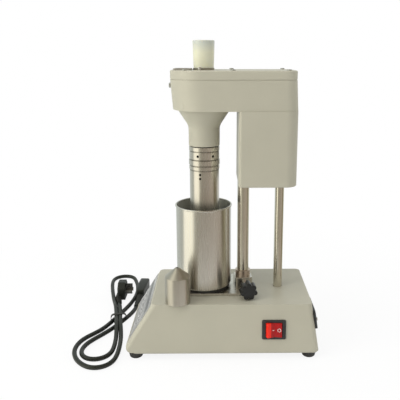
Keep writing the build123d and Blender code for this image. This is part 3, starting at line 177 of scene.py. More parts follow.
def addBump(tree, shader, height, strength, distance):
    bump = tree.nodes.new("ShaderNodeBump")
    bump.inputs["Strength"].default_value = strength
    bump.inputs["Distance"].default_value = distance
    tree.links.new(height, bump.inputs["Height"])
    tree.links.new(bump.outputs["Normal"], shader.inputs["Normal"])


def shades(color, amount):
    return tuple(c * (1 - amount) for c in color), tuple(min(1, c * (1 + amount)) for c in color)


def enamel(name, color, roughness=0.42, peel=0.035):
    material, tree, shader = newMaterial(name, color, roughness)
    where = place(tree)
    cloud = noise(tree, where, scale=14, detail=4)
    dark, light = shades(color, 0.035)
    speck = noise(tree, where, scale=900, detail=2)
    tinted = blendColors(tree, spread(tree, cloud, 0, 1), dark, light)
    specks = spread(tree, speck, 0, 0.16, fromLow=0.66, fromHigh=0.8)
    specked = blendColors(tree, specks, tinted, shades(color, 0.3)[0])
    tree.links.new(specked, shader.inputs["Base Color"])
    tree.links.new(spread(tree, noise(tree, where, scale=60, detail=3), roughness - 0.04, roughness + 0.06),
                   shader.inputs["Roughness"])
    addBump(tree, shader, noise(tree, where, scale=520, detail=2), strength=peel, distance=0.0004)
    shader.inputs["Coat Weight"].default_value = 0.1
    shader.inputs["Coat Roughness"].default_value = 0.3
    return material


def withinRadius(tree, centre, radius):
    # 1 inside a radius round an upright axis, 0 outside it
    edge = 0.0001
    coordinates = tree.nodes.new("ShaderNodeTexCoord")
    shifted = vectorArithmetic(tree, "SUBTRACT", coordinates.outputs["Object"], centre)
    flat = vectorArithmetic(tree, "MULTIPLY", shifted, (1, 1, 0))
    reach = vectorArithmetic(tree, "LENGTH", flat)
    return spread(tree, reach, 1, 0, fromLow=radius - edge, fromHigh=radius + edge)


def smearUpright(tree, shader, amount):
    # marks that run round a piece spread its reflections up and down
    tangent = tree.nodes.new("ShaderNodeTangent")
    tangent.direction_type = "RADIAL"
    tangent.axis = "Z"
    tree.links.new(tangent.outputs["Tangent"], shader.inputs["Tangent"])
    shader.inputs["Anisotropic"].default_value = amount
    shader.inputs["Anisotropic Rotation"].default_value = 0.25


def darkBore(tree, shader, centre, shadedBore):
    # duller inner wall: less metallic and rougher than the outside, and darker in colour, which is painted
    # shade inside the bore
    mask = withinRadius(tree, centre, shadedBore["radius"])
    for socket, inner in (("Metallic", 0.3), ("Roughness", shadedBore["roughness"])):
        blend = tree.nodes.new("ShaderNodeMix")
        links = shader.inputs[socket].links
        if links:
            tree.links.new(links[0].from_socket, blend.inputs["A"])
        else:
            blend.inputs["A"].default_value = shader.inputs[socket].default_value
        blend.inputs["B"].default_value = inner
        tree.links.new(mask, blend.inputs["Factor"])
        tree.links.new(blend.outputs["Result"], shader.inputs[socket])
    outer = shader.inputs["Base Color"].links[0].from_socket
    tree.links.new(blendColors(tree, mask, outer, shadedBore["color"]), shader.inputs["Base Color"])


# the painted shade line in a turned groove: half its width where it is darkest and where it ends
grooveShadePlan = {"share": 0.6, "inner": 0.0004, "outer": 0.0010, "color": (0.12, 0.11, 0.09)}


def soilGroove(tree, shader, height):
    # darkens a thin band round the given height: painted shade in the groove
    offset = arithmetic(tree, "SUBTRACT", placeAxes(tree)["Z"], height)
    away = arithmetic(tree, "ABSOLUTE", offset)
    line = spread(tree, away, grooveShadePlan["share"], 0, grooveShadePlan["inner"], grooveShadePlan["outer"])
    outer = shader.inputs["Base Color"].links[0].from_socket
    tree.links.new(blendColors(tree, line, outer, grooveShadePlan["color"]), shader.inputs["Base Color"])


def brushed(name, color, roughness=0.2, along="round", grain=0.25, centre=(axisX, 0, 0), smear=0.0,
            streak=1.0, shadedBore=None, dark=()):
    # metal with fine tool or brush marks: round a turned piece, or along one axis
    material, tree, shader = newMaterial(name, color, roughness, 1.0)
    stretch = {"round": (6, 6, 900), "x": (10, 900, 900), "y": (900, 10, 900), "z": (900, 900, 10),
               "face": (260, 260, 260)}[along]
    where = place(tree, scale=stretch, offset=tuple(-c * s for c, s in zip(centre, stretch)))
    marks = noise(tree, where, scale=1.0, detail=3, roughness=0.6)
    cloud = noise(tree, place(tree), scale=22, detail=3)
    tone = blendColors(tree, spread(tree, marks, 0, 1), *shades(color, 0.09 * streak))
    toned = blendColors(tree, spread(tree, cloud, 0, 0.25), tone, shades(color, 0.18)[0])
    tree.links.new(toned, shader.inputs["Base Color"])
    smooth, rough = roughness * (1 - 0.2 * streak), roughness * (1 + 0.35 * streak)
    tree.links.new(spread(tree, marks, smooth, rough), shader.inputs["Roughness"])
    # painted shade lines at the groove heights given in dark
    for height in dark:
        soilGroove(tree, shader, height)
    if grain:
        addBump(tree, shader, marks, strength=grain, distance=0.00006)
    if smear:
        smearUpright(tree, shader, smear)
    # inner wall: duller finish, and painted shade in its colour
    if shadedBore:
        darkBore(tree, shader, centre, shadedBore)
    return material


def polishedMetal(name, color, roughness=0.07):
    material, tree, shader = newMaterial(name, color, roughness, 1.0)
    where = place(tree)
    smear = noise(tree, where, scale=35, detail=4)
    tree.links.new(spread(tree, smear, roughness * 0.6, roughness * 2.2), shader.inputs["Roughness"])
    dark, light = shades(color, 0.05)
    tree.links.new(blendColors(tree, spread(tree, smear, 0, 1), dark, light), shader.inputs["Base Color"])
    addBump(tree, shader, noise(tree, where, scale=240, detail=3), strength=0.03, distance=0.0002)
    return material


def moulded(name, color, roughness=0.4, grain=900, depth=0.3, gloss=0.0):
    material, tree, shader = newMaterial(name, color, roughness)
    where = place(tree)
    dark, light = shades(color, 0.12)
    cloud = noise(tree, where, scale=45, detail=3)
    tree.links.new(blendColors(tree, spread(tree, cloud, 0, 1), dark, light), shader.inputs["Base Color"])
    tree.links.new(spread(tree, cloud, roughness - 0.05, roughness + 0.08), shader.inputs["Roughness"])
    addBump(tree, shader, noise(tree, where, scale=grain, detail=2), strength=depth, distance=0.00012)
    shader.inputs["Coat Weight"].default_value = gloss
    shader.inputs["Coat Roughness"].default_value = 0.12
    return material


def capPlastic(name, color, paleColor, paleFrom, paleTo):
    # milky plastic, greyer towards its top
    material, tree, shader = newMaterial(name, color, 0.34)
    pale = spread(tree, placeAxes(tree)["Z"], 0, 1, paleFrom, paleTo)
    cloud = noise(tree, place(tree), scale=60, detail=3)
    body = blendColors(tree, spread(tree, cloud, 0, 1), *shades(color, 0.04))
    tree.links.new(blendColors(tree, pale, body, paleColor), shader.inputs["Base Color"])
    shader.inputs["Subsurface Weight"].default_value = 0.35
    shader.inputs["Subsurface Radius"].default_value = (0.6, 0.5, 0.3)
    shader.inputs["Subsurface Scale"].default_value = 0.004
    shader.inputs["Coat Weight"].default_value = 0.2
    shader.inputs["Coat Roughness"].default_value = 0.2
    ripple = noise(tree, place(tree, scale=(1, 1, 5)), scale=300, detail=2)
    addBump(tree, shader, ripple, strength=0.08, distance=0.0002)
    return material


def rockerPlastic(name, color, paintedHighlight, edgeFrom, edgeTo):
    # the raised end is painted brighter: a painted highlight where light falls on its end face
    material, tree, shader = newMaterial(name, color, 0.28)
    highlightShare = spread(tree, placeAxes(tree)["X"], 1, 0, edgeFrom, edgeTo)
    cloud = noise(tree, place(tree), scale=120, detail=2)
    body = blendColors(tree, spread(tree, cloud, 0, 1), *shades(color, 0.08))
    tree.links.new(blendColors(tree, highlightShare, body, paintedHighlight), shader.inputs["Base Color"])
    shader.inputs["Specular IOR Level"].default_value = 0.3
    return material


def printedFilm(name, color):
    # membrane film with slanting streaks: a painted reflection
    material, tree, shader = newMaterial(name, color, 0.28)
    where = place(tree, turn=(radians(35), 0, 0))
    # the wave bands are painted reflection streaks
    wave = tree.nodes.new("ShaderNodeTexWave")
    wave.bands_direction = "Y"
    wave.inputs["Scale"].default_value = 26
    wave.inputs["Distortion"].default_value = 3.5
    wave.inputs["Detail"].default_value = 2
    wave.inputs["Detail Scale"].default_value = 1.2
    tree.links.new(where, wave.inputs["Vector"])
    dark, light = shades(color, 0.15)
    tree.links.new(blendColors(tree, wave.outputs["Fac"], dark, light), shader.inputs["Base Color"])
    addBump(tree, shader, noise(tree, place(tree), scale=700, detail=2), strength=0.15, distance=0.0002)
    return material


def layered(name, color, other, pitch, axis="Z"):
    # laminated or wound surface: thin bands along an axis
    material, tree, shader = newMaterial(name, color, 0.45, 0.35)
    wave = tree.nodes.new("ShaderNodeTexWave")
    wave.bands_direction = axis
    wave.inputs["Scale"].default_value = 1 / pitch / 3.2
    wave.inputs["Distortion"].default_value = 0.4
    tree.links.new(place(tree), wave.inputs["Vector"])
    tree.links.new(blendColors(tree, wave.outputs["Fac"], color, other), shader.inputs["Base Color"])
    addBump(tree, shader, wave.outputs["Fac"], strength=0.4, distance=0.0003)
    return material


def boardCoat(name, color, track):
    material, tree, shader = newMaterial(name, color, 0.3)
    cells = tree.nodes.new("ShaderNodeTexVoronoi")
    cells.feature = "DISTANCE_TO_EDGE"
    cells.distance = "EUCLIDEAN"
    cells.inputs["Scale"].default_value = 260
    tree.links.new(place(tree), cells.inputs["Vector"])
    fac = spread(tree, cells.outputs["Distance"], 1, 0, fromLow=0.02, fromHigh=0.06)
    tree.links.new(blendColors(tree, fac, color, track), shader.inputs["Base Color"])
    return material


def clearGlass(name):
    material, tree, shader = newMaterial(name, (0.93, 0.97, 0.96), 0.03)
    shader.inputs["Transmission Weight"].default_value = 1.0
    shader.inputs["IOR"].default_value = 1.46
    smear = noise(tree, place(tree), scale=80, detail=3)
    tree.links.new(spread(tree, smear, 0.01, 0.07), shader.inputs["Roughness"])
    return material


# the rotor's steel, with painted shade in the colour of its bore, and how far down the coupling ring each of
# its grooves lies
rotorSteel = {"color": (0.70, 0.67, 0.62), "roughness": 0.27, "along": "z", "grain": 0.03, "smear": 0.85,
              "streak": 0.45, "shadedBore": {"radius": 0.0196, "color": (0.02, 0.019, 0.016), "roughness": 0.5}}
ringPlan = {"top": 0.2892, "height": 0.034, "grooves": (0.188, 0.532, 0.78, 0.975)}
ringGrooves = [ringPlan["top"] - share * ringPlan["height"] for share in ringPlan["grooves"]]

finishes = {
    "casing": enamel("warmGreyEnamel", (0.415, 0.395, 0.312)),
    "plate": enamel("baseUndersideEnamel", (0.42, 0.40, 0.33), roughness=0.5),
    "motor": enamel("motorEnamel", (0.035, 0.04, 0.05), roughness=0.4),
    "stainless": brushed("turnedStainless", **rotorSteel),
    # the coupling ring gets painted shade lines in its grooves
    "ring": brushed("ringStainless", dark=ringGrooves, **rotorSteel),
    "turned": brushed("turnedBobSteel", (0.66, 0.63, 0.58), roughness=0.24),
    # the cup's inner wall: duller finish, and a darker colour that is painted shade
    "cup": brushed("spunStainless", (0.72, 0.70, 0.66), roughness=0.27, along="z", grain=0.03, smear=0.9,
                   streak=0.35, centre=(-0.0265, 0, 0),
                   shadedBore={"radius": 0.0390, "color": (0.36, 0.36, 0.31), "roughness": 0.45}),
    "bobSteel": brushed("spareBobSteel", (0.56, 0.53, 0.47), roughness=0.36, along="z", grain=0.1, smear=0.8,
                        centre=(-0.0619, -0.0552, 0)),
    "column": brushed("groundColumnSteel", (0.72, 0.69, 0.61), roughness=0.17, along="z", grain=0.03,
                      smear=0.9, streak=0.5),
    "mirror": polishedMetal("mirrorSteel", (0.62, 0.60, 0.55), roughness=0.2),
    "collar": brushed("collarSteel", (0.66, 0.57, 0.50), roughness=0.3, centre=(0.0305, 0, 0), smear=0.6),
    "seat": brushed("seatAluminium", (0.42, 0.40, 0.35), roughness=0.45),
    "trim": moulded("windowTrim", (0.26, 0.24, 0.20), roughness=0.5, grain=900, depth=0.1),
    "pin": brushed("plugPinSteel", (0.20, 0.20, 0.185), roughness=0.35, along="x"),
    "screw": brushed("screwSteel", (0.56, 0.57, 0.56), roughness=0.36, along="face", grain=0.1),
    "bright": brushed("brightScrewSteel", (0.72, 0.72, 0.70), roughness=0.18, along="face", grain=0.1),
    "aluminium": brushed("turnedAluminium", (0.74, 0.75, 0.76), roughness=0.28),
    "cast": enamel("castAluminium", (0.42, 0.43, 0.44), roughness=0.55, peel=0.5),
    "brass": brushed("contactBrass", (0.72, 0.60, 0.36), roughness=0.24, along="x"),
    "rubber": moulded("softRubber", (0.022, 0.021, 0.019), roughness=0.55, grain=700, depth=0.35),
    "cordRubber": moulded("cordJacket", (0.008, 0.010, 0.007), roughness=0.44, grain=600, depth=0.2,
                          gloss=0.05),
    "belt": moulded("beltRubber", (0.02, 0.02, 0.022), roughness=0.6, grain=1200, depth=0.3),
    "blackPlastic": moulded("blackMoulding", (0.02, 0.021, 0.022), roughness=0.42, grain=1100, depth=0.25),
    "knob": moulded("knobMoulding", (0.005, 0.006, 0.007), roughness=0.3, grain=800, depth=0.1, gloss=0.1),
    # the second colour is the painted highlight on the rocker's raised end
    "red": rockerPlastic("redRocker", (0.34, 0.004, 0.005), (0.80, 0.022, 0.010),
                         edgeFrom=0.0663, edgeTo=0.0670),
    "capPlastic": capPlastic("milkyCapPlastic", (0.66, 0.65, 0.50), (0.52, 0.54, 0.48),
                             paleFrom=0.4170, paleTo=0.4300),
    "film": printedFilm("keypadFilm", (0.38, 0.38, 0.375)),
    "core": layered("laminatedCore", (0.16, 0.16, 0.17), (0.30, 0.30, 0.31), pitch=0.0012),
    "board": boardCoat("boardCoat", (0.02, 0.16, 0.06), (0.05, 0.26, 0.11)),
    "springWire": brushed("springWire", (0.55, 0.50, 0.42), roughness=0.25),
    "dial": moulded("dialEnamel", (0.80, 0.79, 0.74), roughness=0.35, grain=500, depth=0.05),
    "glass": clearGlass("windowGlass"),
    "printBlack": moulded("blackPrint", (0.02, 0.02, 0.025), roughness=0.5, grain=900, depth=0.05),
    "printWhite": moulded("whitePrint", (0.86, 0.86, 0.84), roughness=0.4, grain=900, depth=0.05),
    "keyPrint": moulded("keyPrint", (0.13, 0.13, 0.135), roughness=0.35, grain=900, depth=0.05),
}

nodeFinishes = {
    "casing": "base_cover head_body head_lid motor_box spindle_housing",
    "plate": "base_plate",
    "motor": "drive_motor",
    "stainless": "rotor_sleeve",
    "ring": "coupling_ring",
    "turned": "measuring_bob spindle bob_shaft",
    "cup": "sample_cup",
    "bobSteel": "spare_bob",
    "column": "front_column rear_column",
    "mirror": "stage_plate clamp_block",
    "collar": "stage_collar",
    "screw": "lid_screws front_screw",
    "bright": "seat_screw inlet_screws plate_screws foot_screws column_screws head_floor_screws "
              "clamp_screw motor_shaft shaft_bearings spindle_bearings",
    "aluminium": "spring_tube shaft_bridge driven_pulley drive_pulley",
    "seat": "spring_seat",
    "trim": "window_bezel",
    "pin": "plug_pins",
    "cast": "column_block",
    "brass": "inlet_pins board_standoffs bridge_bearing",
    "rubber": "feet cup_mat",
    "cordRubber": "mains_plug line_connector cord_hank cord_tie",
    "belt": "timing_belt",
    "blackPlastic": "switch_housing inlet_housing",
    "knob": "clamp_knob",
    "red": "switch_rocker",
    "capPlastic": "spring_cap",
    "film": "keypad_overlay",
    "core": "transformer",
    "board": "control_board",
    "springWire": "torsion_spring",
    "dial": "dial",
    "glass": "window_glass",
}
finished = set()
for finish, names in nodeFinishes.items():
    for name in names.split():
        nodes[name].data.materials.clear()
        nodes[name].data.materials.append(finishes[finish])
        finished.add(name)
print("finishes given, left over:", sorted(set(nodes) - finished))


# ---- mains cord

cordPlan = {
    "diameter": 6.5,
    # plug, down the left limb, round the lower loops and the upper one, up to the connector;
    # it lies on the floor at 3.3 and crosses other turns at 10.1
    "route": [
        (-171.5, 95, 5.4), (-169.4, 87, 7), (-166.8, 75, 9.6), (-164.6, 62, 10.1),
        (-162, 47, 10.1), (-159.2, 32, 10.1), (-156.4, 17, 9.4), (-153.6, 3, 6.8),
        (-151.2, -11, 4), (-149.2, -27, 3.3), (-148, -45, 3.3), (-147.8, -62, 3.3),
        (-149.6, -78, 3.3), (-155.8, -89.5, 3.3), (-166.4, -96.2, 3.3), (-179, -96.2, 3.3),
        (-190.5, -89, 3.3), (-200.5, -78, 3.3), (-207.6, -64, 3.3), (-211.2, -48.6, 3.3),
        (-210.2, -32.5, 3.3), (-204.5, -17, 3.3), (-194, -3.5, 3.3), (-184.5, 9.5, 3.3),
        (-178, 23, 3.3), (-172.5, 38, 3.3), (-167.5, 54, 3.3), (-162, 70, 3.3), (-157, 86, 3.3),
        (-152.6, 103, 3.3), (-149.8, 120, 3.3), (-148.4, 138, 3.3), (-148.8, 156, 3.3),
        (-151.2, 172, 3.3), (-154.6, 187, 3.3), (-159, 201.5, 3.3), (-163.8, 213, 3.3),
        (-173.2, 219.8, 3.3), (-185.2, 220.2, 3.3), (-195, 214.2, 3.3), (-199.7, 203.5, 3.3),
        (-199.9, 191.5, 3.3), (-197.8, 176, 3.3), (-194.6, 160, 3.3), (-191, 144, 3.3),
        (-187, 127, 3.3), (-182.6, 110, 4), (-178, 93, 7), (-174, 77, 10), (-170.6, 61, 10.1),
        (-167.6, 46, 10.1), (-164.8, 31, 10.1), (-162.2, 16, 10.1), (-159.8, 1, 7.2),
        (-157.8, -14, 4.2), (-156.6, -29, 3.3), (-156, -44, 3.3), (-157.2, -58.5, 3.3),
        (-163, -69, 3.3), (-172.6, -74.8, 3.3), (-183.8, -74.8, 3.3), (-193.4, -69, 3.3),
        (-199.2, -59, 3.3), (-200.6, -46.5, 3.3), (-197.4, -33, 3.3), (-190.2, -20, 3.3),
        (-181, -7, 3.3), (-172.6, 6, 3.3), (-165.2, 19.5, 3.3), (-159, 33, 3.3),
        (-153.6, 46, 3.3), (-148.6, 58.5, 3.3), (-144.4, 71, 3.6), (-141.5, 84, 4.2),
    ],
}


def layCord(name, plan):
    curve = bpy.data.curves.new(name, "CURVE")
    curve.dimensions = "3D"
    curve.bevel_depth = plan["diameter"] / 2 * mm
    curve.bevel_resolution = 6
    curve.resolution_u = 8
    spline = curve.splines.new("NURBS")
    spline.points.add(len(plan["route"]) - 1)
    for point, (x, y, z) in zip(spline.points, plan["route"]):
        point.co = (x * mm, y * mm, z * mm, 1)
    spline.order_u = 3
    spline.use_endpoint_u = True
    piece = bpy.data.objects.new(name, curve)
    bpy.context.scene.collection.objects.link(piece)
    curve.materials.append(finishes["cordRubber"])
    return piece


def splineLength(piece):
    bare = piece.copy()
    bare.data = piece.data.copy()
    bare.data.bevel_depth = 0
    bpy.context.scene.collection.objects.link(bare)
    mesh = bpy.data.meshes.new_from_object(bare)
    points = [v.co.copy() for v in mesh.vertices]
    bpy.data.objects.remove(bare)
    return sum((b - a).length for a, b in zip(points, points[1:]))


mainsCord = layCord("mains_cord", cordPlan)
cordLength = splineLength(mainsCord)
print("cord length", round(cordLength, 4))

# line connector: a low relief, a body that widens, and a shroud with three slots
connectorPlan = {
    "start": (-141.5, 84, 4.55), "way": (0.075, 1, 0), "height": 12.3, "relief": 32, "rise": 5.0,
    "radii": (4.05, 5.6), "taper": 22, "shroud": (16, 24, 24), "narrow": (0.8125, 1, 0.708),
    "slot": (4.4, 20, 2.4), "slots": ((-2, -6.5), (2.5, 0), (-2, 6.5)), "round": 2.6, "lap": 1.5,
}


def makeConnector(plan):
    wide, deep, high = plan["shroud"]
    length = plan["relief"] + plan["taper"] + deep
    deselectAll()
    bpy.ops.mesh.primitive_cube_add(size=1)
    body = bpy.context.active_object
    body.scale = (wide * mm, deep * mm, high * mm)
    body.location = (0, (length - deep / 2) * mm, plan["height"] * mm)
    bpy.ops.object.transform_apply(location=True, scale=True)
    bpy.ops.object.mode_set(mode="EDIT")
    bpy.ops.mesh.select_mode(type="FACE")
    bpy.ops.mesh.select_all(action="DESELECT")
    work = bmesh.from_edit_mesh(body.data)
    for face in work.faces:
        face.select_set(face.normal.y < -0.9)
    bmesh.update_edit_mesh(body.data)
    bpy.ops.mesh.extrude_region_move(TRANSFORM_OT_translate={"value": (0, -plan["taper"] * mm, 0)})
    bpy.ops.transform.resize(value=plan["narrow"],
                             center_override=(0, plan["relief"] * mm, plan["height"] * mm))
    bpy.ops.object.mode_set(mode="OBJECT")
    edges = body.modifiers.new("edges", "BEVEL")
    edges.width = plan["round"] * mm
    edges.segments = 5
    edges.limit_method = "ANGLE"
    edges.angle_limit = radians(30)
    bpy.ops.object.modifier_apply(modifier="edges")
    for x, z in plan["slots"]:
        deselectAll()
        bpy.ops.mesh.primitive_cube_add(size=1)
        slot = bpy.context.active_object
        slot.scale = [side * mm for side in plan["slot"]]
        slot.location = (x * mm, length * mm, (plan["height"] + z) * mm)
        bpy.ops.object.transform_apply(location=True, scale=True)
        bpy.context.view_layer.objects.active = body
        cut = body.modifiers.new("cut", "BOOLEAN")
        cut.operation = "DIFFERENCE"
        cut.solver = "EXACT"
        cut.object = slot
        bpy.ops.object.modifier_apply(modifier="cut")
        bpy.data.objects.remove(slot)
    start = Vector((0, 0, plan["start"][2] * mm))
    end = start + Vector((0, (plan["relief"] + plan["lap"]) * mm, plan["rise"] * mm))
    deselectAll()
    bpy.ops.mesh.primitive_cone_add(
        vertices=48, radius1=plan["radii"][0] * mm, radius2=plan["radii"][1] * mm,
        depth=(end - start).length, location=start.lerp(end, 0.5),
        rotation=(end - start).to_track_quat("Z", "Y").to_euler())
    piece = joined([body, bpy.context.active_object])
    way = Vector(plan["way"])
    shift = Matrix.Translation((plan["start"][0] * mm, plan["start"][1] * mm, 0))
    turn = Matrix.Rotation(-atan2(way.x, way.y), 4, "Z")
    piece.matrix_world = shift @ turn @ piece.matrix_world
    return settle(piece, "connector_body", finishes["cordRubber"], "frame")


connector = makeConnector(connectorPlan)
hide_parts("line_connector")

# strap round the coiled cord
tiePlan = {"at": (-163.6, 42, 7.1), "turn": 12, "across": 24.5, "high": 13.6, "wide": 5, "thick": 0.9,
           "corner": 5.5}


def makeTie(plan):
    deselectAll()
    bpy.ops.mesh.primitive_cube_add(size=1)
    tie = bpy.context.active_object
    tie.scale = (plan["across"] * mm, plan["wide"] * mm, plan["high"] * mm)
    bpy.ops.object.transform_apply(scale=True)
    bpy.ops.object.mode_set(mode="EDIT")
    bpy.ops.mesh.select_all(action="DESELECT")
    work = bmesh.from_edit_mesh(tie.data)
    for face in work.faces:
        face.select_set(abs(face.normal.y) > 0.9)
    bmesh.update_edit_mesh(tie.data)
    bpy.ops.mesh.delete(type="ONLY_FACE")
    work = bmesh.from_edit_mesh(tie.data)
    for edge in work.edges:
        start, end = (v.co for v in edge.verts)
        edge.select_set(abs(start.y - end.y) > 0.001)
    bmesh.update_edit_mesh(tie.data)
    bpy.ops.mesh.bevel(offset=plan["corner"] * mm, segments=8, affect="EDGES")
    bpy.ops.object.mode_set(mode="OBJECT")
    wall = tie.modifiers.new("wall", "SOLIDIFY")
    wall.thickness = plan["thick"] * mm
    wall.offset = -1
    bpy.ops.object.modifier_apply(modifier="wall")
    tie.rotation_euler = (0, 0, radians(plan["turn"]))
    tie.location = [c * mm for c in plan["at"]]
    return settle(tie, "bundle_strap", finishes["rubber"], "frame")


strap = makeTie(tiePlan)
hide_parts("cord_tie")

# rings of the two flexible reliefs: start, end, radius at each, how many
reliefPlan = {
    "plug_ribs": ((-177.1, 117.5, 5.6), (-172.1, 97.5, 5.6), 5.0, 4.0, 6),
    "connector_ribs": ((-141.3, 87, 5.02), (-139.25, 114, 8.9), 4.1, 5.4, 7),
}
ribRadius = 0.55


def makeRibs(name, start, end, first, last, count):
    start, end = Vector(start) * mm, Vector(end) * mm
    rings = []
    for k in range(count):
        share = k / (count - 1)
        deselectAll()
        bpy.ops.mesh.primitive_torus_add(
            major_radius=(first + (last - first) * share) * mm, minor_radius=ribRadius * mm,
            major_segments=40, minor_segments=10, location=start.lerp(end, share),
            rotation=(end - start).to_track_quat("Z", "Y").to_euler())
        rings.append(bpy.context.active_object)
    return settle(joined(rings), name, finishes["rubber"], "frame")


ribs = [makeRibs(name, *plan) for name, plan in reliefPlan.items()]
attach(mainsCord, "frame")
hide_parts("cord_hank")
print("cord laid, tied and relieved")


# ---- marks and printing

def makeText(words, size, matrix, lift=0.05, thick=0.06):
    deselectAll()
    bpy.ops.object.text_add()
    text = bpy.context.active_object
    text.data.body = words
    text.data.size = size * mm
    text.data.align_x = "CENTER"
    text.data.align_y = "CENTER"
    text.data.extrude = thick * mm
    text.data.resolution_u = 4
    bpy.ops.object.convert(target="MESH")
    text = bpy.context.active_object
    text.matrix_world = matrix @ Matrix.Translation((0, 0, lift * mm))
    return text


def bar(length, width, matrix, at=(0, 0), turn=0.0, thick=0.12):
    deselectAll()
    bpy.ops.mesh.primitive_cube_add(size=1)
    piece = bpy.context.active_object
    piece.scale = (length * mm, width * mm, thick * mm)
    bpy.ops.object.transform_apply(scale=True)
    shift = Matrix.Translation((at[0] * mm, at[1] * mm, 0))
    piece.matrix_world = matrix @ shift @ Matrix.Rotation(turn, 4, "Z")
    return piece


ringFlatness = 0.2  # a printed ring is a torus pressed nearly flat


def ringOf(radius, width, matrix, at=(0, 0)):
    deselectAll()
    bpy.ops.mesh.primitive_torus_add(major_radius=radius * mm, minor_radius=width / 2 * mm,
                                     major_segments=48, minor_segments=8)
    piece = bpy.context.active_object
    piece.scale = (1, 1, ringFlatness)
    bpy.ops.object.transform_apply(scale=True)
    piece.matrix_world = matrix @ Matrix.Translation((at[0] * mm, at[1] * mm, 0))
    return piece


# switch: its face leans with the casing, the rocker rests with its left end out
switchPlan = {"at": (70.9, -69.035, 43.5), "lean": 6.086, "tilt": 9.0, "mid": 3.0, "rise": 16.53,
              "line": (2.5, 0.8), "lineAt": (-1.6, 0), "circle": (2.2, 0.5), "circleAt": (6.6, 0)}
lean = radians(switchPlan["lean"])
outward = Vector((0, -cos(lean), sin(lean)))
sideways = Vector((1, 0, 0))
tilt = radians(switchPlan["tilt"])
rockerX = sideways * cos(tilt) - outward * sin(tilt)
rockerZ = outward * cos(tilt) + sideways * sin(tilt)
rise = radians(switchPlan["rise"])
trough = Vector(switchPlan["at"]) * mm + rockerZ * switchPlan["mid"] * mm
rightFace = turnedTo(rockerX * cos(rise) + rockerZ * sin(rise),
                     rockerZ * cos(rise) - rockerX * sin(rise), trough)
leftFace = turnedTo(rockerX * cos(rise) - rockerZ * sin(rise),
                    rockerZ * cos(rise) + rockerX * sin(rise), trough)
marks = joined([bar(*switchPlan["line"], leftFace, at=switchPlan["lineAt"]),
                ringOf(*switchPlan["circle"], rightFace, at=switchPlan["circleAt"])])
settle(marks, "rocker_marks", finishes["printWhite"], "rocker")

# keypad: numbers on the keys, rings round them and ruled lines
padPlan = {"at": (-115.48, 0, 50.14), "lean": 31.92, "film": 0.6, "key": 1.1,
           "keys": (("3", -40.5), ("6", -24.3), ("100", -8.1), ("200", 8.1), ("300", 24.3), ("600", 40.5)),
           "row": -6.0, "digit": 4.6, "digits": 3.6, "ring": (4.9, 0.5), "surround": (6.6, 0.9),
           "slots": (("ON", -32), ("OFF", 32)), "slotRow": -20, "slotText": 4.0,
           "across": 114, "upright": 51, "rule": 0.6, "rows": (25, 6, -26), "middle": -0.5,
           "band": (108, 11), "bandAt": 15.5}
padLean = radians(padPlan["lean"])
padZ = Vector((-cos(padLean), 0, sin(padLean)))
padX = Vector((0, -1, 0))
filmTop = turnedTo(padX, padZ, Vector(padPlan["at"]) * mm + padZ * padPlan["film"] * mm)
keyTop = turnedTo(padX, padZ, Vector(padPlan["at"]) * mm + padZ * padPlan["key"] * mm)
numbers = []
for words, across in padPlan["keys"]:
    shift = Matrix.Translation((across * mm, padPlan["row"] * mm, 0))
    size = padPlan["digit"] if len(words) == 1 else padPlan["digits"]
    numbers.append(makeText(words, size, keyTop @ shift))
settle(joined(numbers), "key_numbers", finishes["printBlack"], "frame", smooth=0)
keyPlaces = [(across, padPlan["row"]) for words, across in padPlan["keys"]]
settle(joined([ringOf(*padPlan["ring"], keyTop, at=spot) for spot in keyPlaces]),
       "key_rings", finishes["printWhite"], "frame")
settle(joined([ringOf(*padPlan["surround"], filmTop, at=spot) for spot in keyPlaces]),
       "key_surrounds", finishes["keyPrint"], "frame")
rules = [bar(padPlan["across"], padPlan["rule"], filmTop, at=(0, row)) for row in padPlan["rows"]]
for side in (-1, 1):
    end = (side * padPlan["across"] / 2, padPlan["middle"])
    rules.append(bar(padPlan["rule"], padPlan["upright"], filmTop, at=end))
settle(joined(rules), "keypad_rules", finishes["keyPrint"], "frame", smooth=0)
settle(bar(*padPlan["band"], filmTop, at=(0, padPlan["bandAt"]), thick=0.1), "keypad_band",
       finishes["keyPrint"], "frame", smooth=0)
slotWords = []
for words, across in padPlan["slots"]:
    shift = Matrix.Translation((across * mm, padPlan["slotRow"] * mm, 0))
    slotWords.append(makeText(words, padPlan["slotText"], keyTop @ shift))
settle(joined(slotWords), "slot_words", finishes["printWhite"], "frame", smooth=0)

# dial: a line each two degrees, numbers each twenty, zero under the window at rest
dialPlan = {"height": 386.0, "outer": 34.6, "short": 2.2, "long": 4.4, "line": 0.28, "numbers": 27.5,
            "text": 4.2, "span": 300, "step": 2, "numbered": 20}
dialTop = Matrix.Translation((axisX, 0, dialPlan["height"] * mm))
lines = []
for degree in range(0, dialPlan["span"] + 1, dialPlan["step"]):
    length = dialPlan["long"] if degree % 10 == 0 else dialPlan["short"]
    bearing = pi - radians(degree)
    reach = dialPlan["outer"] - length / 2
    spot = (reach * cos(bearing), reach * sin(bearing))
    lines.append(bar(length, dialPlan["line"], dialTop, at=spot, turn=bearing, thick=0.08))
settle(joined(lines), "dial_lines", finishes["printBlack"], "bob", smooth=0)
figures = []
for degree in range(0, dialPlan["span"] + 1, dialPlan["numbered"]):
    bearing = pi - radians(degree)
    turn = Matrix.Rotation(bearing - pi / 2, 4, "Z")
    spot = Matrix.Translation((dialPlan["numbers"] * cos(bearing) * mm,
                               dialPlan["numbers"] * sin(bearing) * mm, 0))
    figures.append(makeText(str(degree), dialPlan["text"], dialTop @ spot @ turn, thick=0.04))
settle(joined(figures), "dial_numbers", finishes["printBlack"], "bob", smooth=0)
print("marks and printing done")

# ---- camera, floor and light

